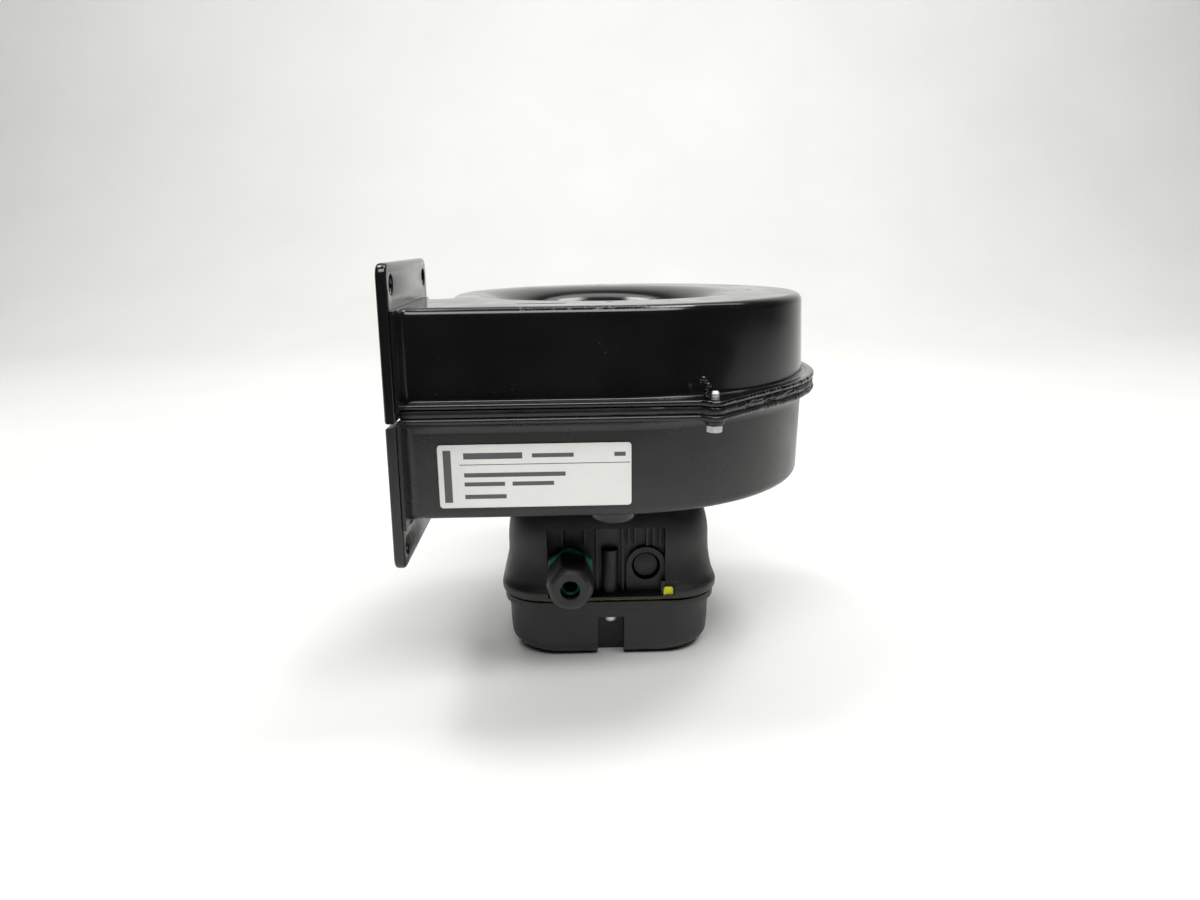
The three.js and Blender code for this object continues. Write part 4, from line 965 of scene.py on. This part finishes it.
def type_label(material):
    (x0, y0, z0), (x1, y1, z1) = box_mm("type_label")
    half = (z1 - z0 - 2 * LABEL_HALF_T * math.sin(LABEL_LEAN)) / math.cos(LABEL_LEAN) / 2
    r, outline = LABEL_CORNER_R, []
    centres = ((x1 - r, half - r), (x0 + r, half - r), (x0 + r, r - half), (x1 - r, r - half))
    for corner, (cx, cz) in enumerate(centres):
        for a in turns(6, QUARTER * corner, QUARTER * (corner + 1)):
            outline.append((cx + r * math.cos(a), cz + r * math.sin(a)))
    shape = slab(outline, [], -LABEL_HALF_T, LABEL_HALF_T, 0.08, steps=2)
    upright = Matrix(((1, 0, 0, 0), (0, 0, -1, 0), (0, 1, 0, 0), (0, 0, 0, 1)))
    centre = Matrix.Translation((0, (y0 + y1) / 2, (z0 + z1) / 2))
    place = centre @ Matrix.Rotation(LABEL_LEAN, 4, "X") @ upright
    return piece("type_label_printed", shape.moved(place), material, ["type_label"])


# ---------- wheel and motor ----------
WHEEL_Z = (114.0, 174.0)
BLADES = 36
BLADE_R = (50.0, 59.4)
BLADE_T = 0.9
BLADE_SWEEP = 0.16
ROTOR_R = 43.5
ROTOR_Z = (106.0, 155.0)
ROTOR_WALL = 1.8
SHAFT_R, SHAFT_END_Z = 4.0, 99.9
MOTOR_PLATE_R, MOTOR_PLATE_Z = 76.0, (95.8, 98.2)


def turned_piece(name, node, profile, material):
    return piece(name, lathe(profile, 144), material, [node], "rotor")


def blade(turn, z0, z1):
    def side(shift, back):
        made = []
        for i in range(9):
            t = i / 8
            r = BLADE_R[0] + t * (BLADE_R[1] - BLADE_R[0])
            a = turn - BLADE_SWEEP * t * t + shift / r
            made.append((r * math.cos(a), r * math.sin(a)))
        return made[::-1] if back else made

    outline = side(-BLADE_T / 2, False) + side(BLADE_T / 2, True)
    return stack([[(x, y, z) for x, y in outline] for z in (z0, z1)])


def wheel(material):
    z0, z1 = WHEEL_Z
    low, high = z0 + 1.5, z1 - 1.5
    r0, r1 = BLADE_R[0] - 0.4, BLADE_R[1] + 0.4
    band = Shape()
    for below, above in ((low, low + 0.9), (high - 0.9, high)):
        band.join(lathe([(r0, below), (r1, below), (r1, above), (r0, above)], 144))
    for turn in turns(BLADES):
        band.join(blade(turn, low + 0.4, high - 0.4))
    piece("impeller_blades_curved", band, material, ["impeller_blade_band"], "rotor")
    hub, front_r = ROTOR_R + 0.3, BLADE_R[0] + 3
    back = [(hub, z0), (r1 - 0.4, z0), (r1, z0 + 0.4), (r1, z0 + 1.2), (hub + 2.7, z0 + 1.2),
            (hub + 1.7, z0 + 1.6), (hub + 1.3, z0 + 2.6), (hub + 1.3, z0 + 6), (hub, z0 + 6)]
    turned_piece("impeller_back_pressed", "impeller_back_plate", back, material)
    front = [(front_r, z1 - 1.2), (r1, z1 - 1.2), (r1, z1 - 0.3), (r1 - 0.3, z1), (front_r + 0.3, z1),
             (front_r, z1 - 0.3)]
    turned_piece("impeller_front_rolled", "impeller_front_ring", front, material)


def rotor_shoulder(setback, r):
    """The rounded edge between the rotor's side and its end."""
    return [(ROTOR_R - setback + r * math.cos(a), ROTOR_Z[1] - setback + r * math.sin(a))
            for a in turns(8, 0, QUARTER)]


def rotor(material, steel):
    z0, z1 = ROTOR_Z
    skirt = [(ROTOR_R - ROTOR_WALL, z0), (ROTOR_R - 0.3, z0), (ROTOR_R, z0 + 0.3)]
    end = [(30, z1), (29, z1 - 0.5), (20, z1 - 0.5), (19, z1), (8.5, z1), (8.0, z1 + 0.4), (7.6, z1 + 1.7),
           (7.2, z1 + 2), (4.4, z1 + 2), (4.4, z1 - 6), (8, z1 - 6), (8, z1 - ROTOR_WALL)]
    profile = skirt + rotor_shoulder(5, 5) + end + rotor_shoulder(6, 4.2)[::-1]
    turned_piece("rotor_can_drawn", "rotor_can", profile, material)
    r, low = SHAFT_R, SHAFT_END_Z
    shaft = [(0.0, low), (r - 0.5, low), (r, low + 0.5), (r, z1 + 2.2), (r - 0.4, z1 + 2.7), (0.0, z1 + 3.0)]
    shape = lathe(shaft, 64, closed=False)
    piece("motor_shaft_ground", shape, steel, ["motor_shaft"], "rotor")


def motor_plate(material):
    screws = [middle(box_mm(f"plate_screw_{i}")) for i in (1, 2, 3, 4)]
    holes = [circle(x, y, SCREW_HOLE_R, 24) for x, y in screws + [(-30, 0), (30, 0)]]
    holes += [circle(0, 0, 6.5, 48), circle(0, 20, 3.5, 32)]
    shape = slab(circle(0, 0, MOTOR_PLATE_R, 160), holes, *MOTOR_PLATE_Z, 0.5)
    return piece("motor_plate_pressed", shape, material, ["motor_plate"])


# The knots of the wire's end, as (across, along, height, radius) from the near screw.
WIRE_KNOTS = [
    (-5.0, 2.2, 165.0, 1.4), (-6.3, 2.4, 163.9, 1.0), (-4.2, 2.0, 163.6, 1.1), (-3.0, 1.2, 162.2, 1.3),
    (-3.9, 1.9, 160.7, 1.0), (-3.4, 1.8, 159.2, 0.9), (-3.9, 1.9, 157.8, 1.0), (-3.5, 1.7, 156.5, 1.1),
]


def wire_twist(material):
    """The twisted end of a wire beside the near screw's tip, under the paint."""
    x, y = EARS[0]
    shape = Shape()
    for dx, dy, z, r in WIRE_KNOTS:
        tilt = Matrix.Rotation(random.uniform(-0.9, 0.9), 4, "Y")
        profile = [(r * math.sin(a), -1.2 * r * math.cos(a)) for a in turns(12, 0, math.pi)]
        knot = lathe(profile, 24, closed=False)
        shape.join(knot.moved(Matrix.Translation((x + dx, y + dy, z)) @ tilt))
    return piece("wire_twist_near_screw", shape, material, sharp=60)


# ---------- materials ----------
BLACK, WHITE = (0, 0, 0), (1, 1, 1)
# The second grey is the colour of the flecks on the near top edge: worn paint and a painted reflection of the
# backdrop.
DUST_GREY, SHEEN_AND_BARE_GREY, INK_GREY = (0.16, 0.16, 0.165, 1), (0.17, 0.17, 0.155, 1), (0.10, 0.105, 0.11, 1)
# Where grey flecks are painted along the housing's near top edge, in millimetres: worn paint, and a painted
# reflection of the backdrop on the rounded edge.
SHEEN_AND_WORN_X, SHEEN_AND_WORN_Y, SHEEN_AND_WORN_Z = (-42, 52), (-108.5, -104.2), (196.6, 199.0)


def shader_tree(name):
    material = bpy.data.materials.new(name)
    material.use_nodes = True
    tree = material.node_tree
    return material, tree, tree.nodes["Principled BSDF"]


def feed(tree, node, inputs):
    """Sets a node's inputs, each to a number or colour or from another node's output."""
    for key, value in inputs.items():
        if isinstance(value, bpy.types.NodeSocket):
            tree.links.new(value, node.inputs[key])
        else:
            node.inputs[key].default_value = value


def add_node(tree, kind, output, inputs=None, **settings):
    """A new shader node with its settings and inputs. Gives one of its outputs."""
    made = tree.nodes.new("ShaderNode" + kind)
    for name, value in settings.items():
        setattr(made, name, value)
    feed(tree, made, inputs or {})
    return made.outputs[output]


def object_place(tree):
    return add_node(tree, "TexCoord", "Object")


def noise_at(tree, place, scale, detail=3.0, roughness=0.55):
    inputs = {"Vector": place, "Scale": scale, "Detail": detail, "Roughness": roughness}
    return add_node(tree, "TexNoise", "Fac", inputs)


def ramp(tree, value, stops):
    made = tree.nodes.new("ShaderNodeValToRGB")
    while len(made.color_ramp.elements) < len(stops):
        made.color_ramp.elements.new(0.5)
    for element, (position, colour) in zip(made.color_ramp.elements, stops):
        element.position = position
        element.color = (*colour, 1.0)
    feed(tree, made, {"Fac": value})
    return made.outputs["Color"]


def tinted(tree, value, dark, light):
    return ramp(tree, value, [(0.3, dark), (0.7, light)])


def remapped(tree, value, low_in, high_in, low, high):
    inputs = {"Value": value, "From Min": low_in, "From Max": high_in, "To Min": low, "To Max": high}
    return add_node(tree, "MapRange", "Result", inputs)


def spread(tree, value, low, high):
    """The middle of a noise, spread between two values."""
    return remapped(tree, value, 0.3, 0.7, low, high)


def bump(tree, height, strength, distance, after=None):
    inputs = {"Height": height, "Strength": strength, "Distance": distance}
    if after:
        inputs["Normal"] = after
    return add_node(tree, "Bump", "Normal", inputs)


def blend(tree, factor, a, b, blend_type="MIX"):
    inputs = {"Factor": factor, "A": a, "B": b}
    return add_node(tree, "Mix", "Result", inputs, data_type="RGBA", blend_type=blend_type)


def combine(tree, operation, *values):
    return add_node(tree, "Math", 0, dict(enumerate(values)), operation=operation)


def between(tree, value, low, high):
    """1 where a place in metres lies between two values in millimetres, otherwise 0."""
    above = combine(tree, "GREATER_THAN", value, low * MM)
    below = combine(tree, "LESS_THAN", value, high * MM)
    return combine(tree, "MULTIPLY", above, below)


def split_place(tree, place):
    made = tree.nodes.new("ShaderNodeSeparateXYZ")
    feed(tree, made, {"Vector": place})
    return made.outputs


def paint(name, dark, light, rough, peel, sheen_and_scuff=False):
    """Powder coat on sheet steel: orange peel, smudges in the gloss and a few specks of dust, and when asked
    also grey flecks along the housing's near top edge, which are worn paint and a painted reflection of the
    backdrop."""
    material, tree, shader = shader_tree(name)
    place = object_place(tree)
    cells = add_node(tree, "TexVoronoi", "Distance", {"Vector": place, "Scale": 420})
    specks = ramp(tree, cells, [(0.0, WHITE), (0.085, WHITE), (0.12, BLACK)])
    dusty = ramp(tree, noise_at(tree, place, 60, 2), [(0.62, BLACK), (0.7, (0.6, 0.6, 0.6))])
    dust = blend(tree, 1.0, specks, dusty, "MULTIPLY")
    colour = blend(tree, dust, tinted(tree, noise_at(tree, place, 26, 4), dark, light), DUST_GREY)
    gloss = spread(tree, noise_at(tree, place, 38, 5, 0.62), *rough)
    if sheen_and_scuff:
        axes = split_place(tree, place)
        # Grey flecks along the near top edge: a painted reflection of the backdrop on the rounded edge,
        # together with worn paint.
        sheen_and_wear = ramp(tree, noise_at(tree, place, 520, 5), [(0.50, BLACK), (0.72, (0.75, 0.75, 0.75))])
        for axis, span in (("X", SHEEN_AND_WORN_X), ("Y", SHEEN_AND_WORN_Y), ("Z", SHEEN_AND_WORN_Z)):
            sheen_and_wear = combine(tree, "MULTIPLY", sheen_and_wear, between(tree, axes[axis], *span))
        colour = blend(tree, sheen_and_wear, colour, SHEEN_AND_BARE_GREY)
        gloss = combine(tree, "MULTIPLY_ADD", sheen_and_wear, 0.4, gloss)
    peeled = bump(tree, noise_at(tree, place, 520, 2), 0.35, peel)
    waved = bump(tree, noise_at(tree, place, 70, 2), 0.3, peel * 2.2, after=peeled)
    feed(tree, shader, {"Base Color": colour, "Roughness": gloss, "Normal": waved})
    return material


def plastic(name, dark, light, rough):
    """Moulded plastic or rubber with a fine grain."""
    material, tree, shader = shader_tree(name)
    place = object_place(tree)
    feed(tree, shader, {
        "Base Color": tinted(tree, noise_at(tree, place, 45, 4), dark, light),
        "Roughness": spread(tree, noise_at(tree, place, 90, 3), *rough),
        "Normal": bump(tree, noise_at(tree, place, 2600, 2), 0.4, 0.00006),
    })
    return material


def metal(name, dark, light, rough, streak=WHITE, scale=300, height=0.00003):
    """Bare metal whose grain is drawn out by streak."""
    material, tree, shader = shader_tree(name)
    place = object_place(tree)
    stretched = add_node(tree, "Mapping", "Vector", {"Vector": place, "Scale": streak})
    grain = noise_at(tree, stretched, scale, 4)
    feed(tree, shader, {
        "Base Color": tinted(tree, grain, dark, light),
        "Roughness": spread(tree, noise_at(tree, place, 120, 3), *rough),
        "Metallic": 1.0,
        "Normal": bump(tree, grain, 0.3, height),
    })
    return material


# Plain bars of grey ink on the type plate, as (x from, x to, z from, z to).
INK_BARS = [
    (-79.5, -75.8, 107.5, 133.0),
    (-70.0, -42.5, 128.6, 131.6),
    (-38.0, -18.5, 129.0, 131.0),
    (0.5, 5.8, 129.0, 131.0),
    (-72.0, 8.0, 125.7, 126.1),
    (-70.0, -22.5, 119.8, 121.9),
    (-70.0, -51.0, 115.4, 117.4),
    (-47.5, -28.0, 115.4, 117.4),
    (-70.0, -50.5, 109.2, 111.3),
]


def printed_label(name, white):
    """A white sticker with plain bars of grey ink, under a clear film."""
    material, tree, shader = shader_tree(name)
    place = object_place(tree)
    axes = split_place(tree, place)
    ink = 0.0
    for x0, x1, z0, z1 in INK_BARS:
        bar = combine(tree, "MULTIPLY", between(tree, axes["X"], x0, x1), between(tree, axes["Z"], z0, z1))
        ink = combine(tree, "MAXIMUM", ink, bar)
    paper = tinted(tree, noise_at(tree, place, 60, 3), white, tuple(min(v * 1.05, 1) for v in white))
    feed(tree, shader, {
        "Base Color": blend(tree, ink, paper, INK_GREY),
        "Roughness": spread(tree, noise_at(tree, place, 90, 3), 0.32, 0.44),
    })
    return material


random.seed(7)
# Each look has a dark and a light colour and a range of roughness; paint and metal then add their grain.
PAINTS = {
    # The gloss paint also gets the grey flecks on the near top edge, a painted reflection together with worn
    # paint.
    "gloss_black_paint": ((0.0055, 0.0055, 0.006), (0.010, 0.010, 0.011), (0.10, 0.20), 0.00002, True),
    "satin_black_paint": ((0.010, 0.010, 0.011), (0.017, 0.017, 0.018), (0.24, 0.36), 0.00003),
}
PLASTICS = {
    "black_plastic": ((0.012, 0.0125, 0.013), (0.020, 0.0205, 0.021), (0.42, 0.56)),
    "teal_plastic": ((0.006, 0.15, 0.14), (0.010, 0.20, 0.185), (0.26, 0.38)),
    "yellow_rubber": ((0.84, 0.82, 0.010), (0.93, 0.90, 0.016), (0.42, 0.55)),
    "seal_rubber": ((0.006, 0.006, 0.0065), (0.010, 0.010, 0.011), (0.26, 0.4)),
    "capacitor_white": ((0.68, 0.69, 0.67), (0.74, 0.75, 0.73), (0.36, 0.46)),
    "terminal_grey": ((0.22, 0.23, 0.23), (0.28, 0.29, 0.29), (0.5, 0.6)),
    "lead_blue": ((0.02, 0.10, 0.36), (0.03, 0.14, 0.44), (0.35, 0.45)),
    "lead_brown": ((0.11, 0.045, 0.018), (0.16, 0.065, 0.025), (0.35, 0.45)),
    "lead_earth": ((0.42, 0.46, 0.03), (0.52, 0.56, 0.04), (0.35, 0.45)),
}
METALS = {
    "zinc_steel": ((0.66, 0.665, 0.66), (0.80, 0.805, 0.80), (0.40, 0.52)),
    "galvanised_steel": ((0.36, 0.375, 0.385), (0.56, 0.575, 0.585), (0.32, 0.5), WHITE, 160),
    "cast_aluminium": ((0.42, 0.43, 0.44), (0.54, 0.55, 0.56), (0.42, 0.6), WHITE, 700, 0.00008),
    "lamination_steel": ((0.09, 0.095, 0.10), (0.16, 0.165, 0.17), (0.4, 0.6), (1, 1, 14), 140),
    "copper_wire": ((0.42, 0.15, 0.055), (0.58, 0.22, 0.08), (0.25, 0.4), (1, 1, 6), 400),
    "bearing_steel": ((0.60, 0.61, 0.62), (0.70, 0.71, 0.72), (0.10, 0.2), (1, 1, 6), 500, 0.00001),
}
MATERIALS = {"label_white": printed_label("label_white", (0.86, 0.865, 0.85))}
for make, looks in ((paint, PAINTS), (plastic, PLASTICS), (metal, METALS)):
    for look, values in looks.items():
        MATERIALS[look] = make(look, *values)


def dress_cad_nodes():
    slots = {row["node"]: row["material_slot"] for row in frame["record"]["subparts"]}
    for name, node in frame["nodes"].items():
        node.data.materials.clear()
        node.data.materials.append(MATERIALS[slots[name]])
        node.data.set_sharp_from_angle(angle=math.radians(32))


# ---------- camera, floor and light ----------
def camera():
    pitch, yaw, roll = (math.radians(a) for a in (CAMERA_PITCH, CAMERA_YAW, CAMERA_ROLL))
    ahead = Vector((math.sin(yaw) * math.cos(pitch), math.cos(yaw) * math.cos(pitch), -math.sin(pitch)))
    right = Vector((math.cos(yaw), -math.sin(yaw), 0))
    up = right.cross(ahead)
    side = right * math.cos(roll) + up * math.sin(roll)
    top = up * math.cos(roll) - right * math.sin(roll)
    data = bpy.data.cameras.new("camera")
    data.lens = CAMERA_LENS
    data.sensor_width = 36.0
    data.clip_start = 0.01
    made = bpy.data.objects.new("camera", data)
    made.matrix_world = Matrix(
        [(side[i], top[i], -ahead[i], CAMERA_PLACE[i] * MM) for i in range(3)] + [(0, 0, 0, 1)]
    )
    bpy.context.scene.collection.objects.link(made)
    bpy.context.scene.camera = made


FLOOR_FRONT = -640.0  # the table ends behind the camera's view, and beyond it the room is dark
FLOOR_HALF, FLOOR_BACK, BEND_R, BACKDROP_TOP = 6000, 1400, 900, 5000
WARM = (1.0, 1.0, 0.965)


def floor():
    """A pale sweep: a floor that curves up into a backdrop."""
    profile = [(FLOOR_FRONT, 0.0)]
    for a in turns(12, 0, QUARTER):
        profile.append((FLOOR_BACK + BEND_R * math.sin(a), BEND_R * (1 - math.cos(a))))
    profile.append((FLOOR_BACK + BEND_R, BACKDROP_TOP))
    shape = Shape()
    shape.grid([[(-FLOOR_HALF, y, z), (FLOOR_HALF, y, z)] for y, z in profile])
    mesh = bpy.data.meshes.new("floor")
    mesh.from_pydata([Vector(p) * MM for p in shape.points], [], shape.faces)
    for face in mesh.polygons:
        face.use_smooth = True
    made = bpy.data.objects.new("floor", mesh)
    bpy.context.scene.collection.objects.link(made)
    material, tree, shader = shader_tree("floor_paper")
    tint = tinted(tree, noise_at(tree, object_place(tree), 3, 4), (0.80, 0.80, 0.80), (0.84, 0.84, 0.845))
    feed(tree, shader, {"Base Color": tint, "Roughness": 0.55})
    mesh.materials.append(material)


def light(name, place, target, size, power):
    data = bpy.data.lights.new(name, "AREA")
    data.shape = "RECTANGLE"
    data.size, data.size_y = size
    data.energy = power
    data.color = WARM
    made = bpy.data.objects.new(name, data)
    made.location = Vector(place)
    made.rotation_mode = "QUATERNION"
    made.rotation_quaternion = (Vector(target) - Vector(place)).to_track_quat("-Z", "Y")
    bpy.context.scene.collection.objects.link(made)


def studio():
    """A dark room in front of the table and a bright one above and behind it."""
    world = bpy.data.worlds.new("studio")
    world.use_nodes = True
    tree = world.node_tree
    towards_back = split_place(tree, add_node(tree, "TexCoord", "Generated"))["Y"]
    strength = remapped(tree, towards_back, 0.35, 0.95, 0.012, 0.7)
    feed(tree, tree.nodes["Background"], {"Strength": strength, "Color": (*WHITE, 1)})
    bpy.context.scene.world = world
    light("lamp_left", (-0.75, 0.25, 2.3), (0, 0, 0.1), (0.55, 0.55), 13)
    light("lamp_right", (0.75, 0.25, 2.3), (0, 0, 0.1), (0.55, 0.55), 13)
    light("front", (0.2, -1.1, 1.9), (0, -0.1, 0.05), (2.0, 0.9), 43)
    light("sweep", (0.2, 0.8, 2.4), (0.1, 2.1, 0.8), (3.8, 1.2), 42)
    bpy.context.scene.view_settings.view_transform = "Standard"


camera()
floor()
studio()
dress_cad_nodes()
gloss, satin, zinc = MATERIALS["gloss_black_paint"], MATERIALS["satin_black_paint"], MATERIALS["zinc_steel"]
rim_path = rim_stations()
rim_reaches = smoothed([rim_reach(s) for s in rim_path])
upper_shell(gloss, rim_path, rim_reaches)
lower_shell(satin, rim_path, rim_reaches)
gasket(MATERIALS["seal_rubber"], rim_path, rim_reaches)
flange_half(True, gloss)
flange_half(False, satin)
weld_beads(gloss, satin)
for number in (1, 2, 3, 4):
    hex_screw(f"seam_screw_{number}", zinc)
    hex_screw(f"plate_screw_{number}", zinc)
wire_twist(gloss)
black = MATERIALS["black_plastic"]
box_body(black)
box_cover(black)
box_seal(MATERIALS["yellow_rubber"])
cover_screw("cover_screw_front", -1, zinc)
cover_screw("cover_screw_back", 1, zinc)
gland_body(MATERIALS["teal_plastic"])
gland_nut(black)
gland_seal(MATERIALS["teal_plastic"])
blanking_disc(black)
type_label(MATERIALS["label_white"])
motor_plate(satin)
wheel(MATERIALS["galvanised_steel"])
rotor(satin, MATERIALS["bearing_steel"])
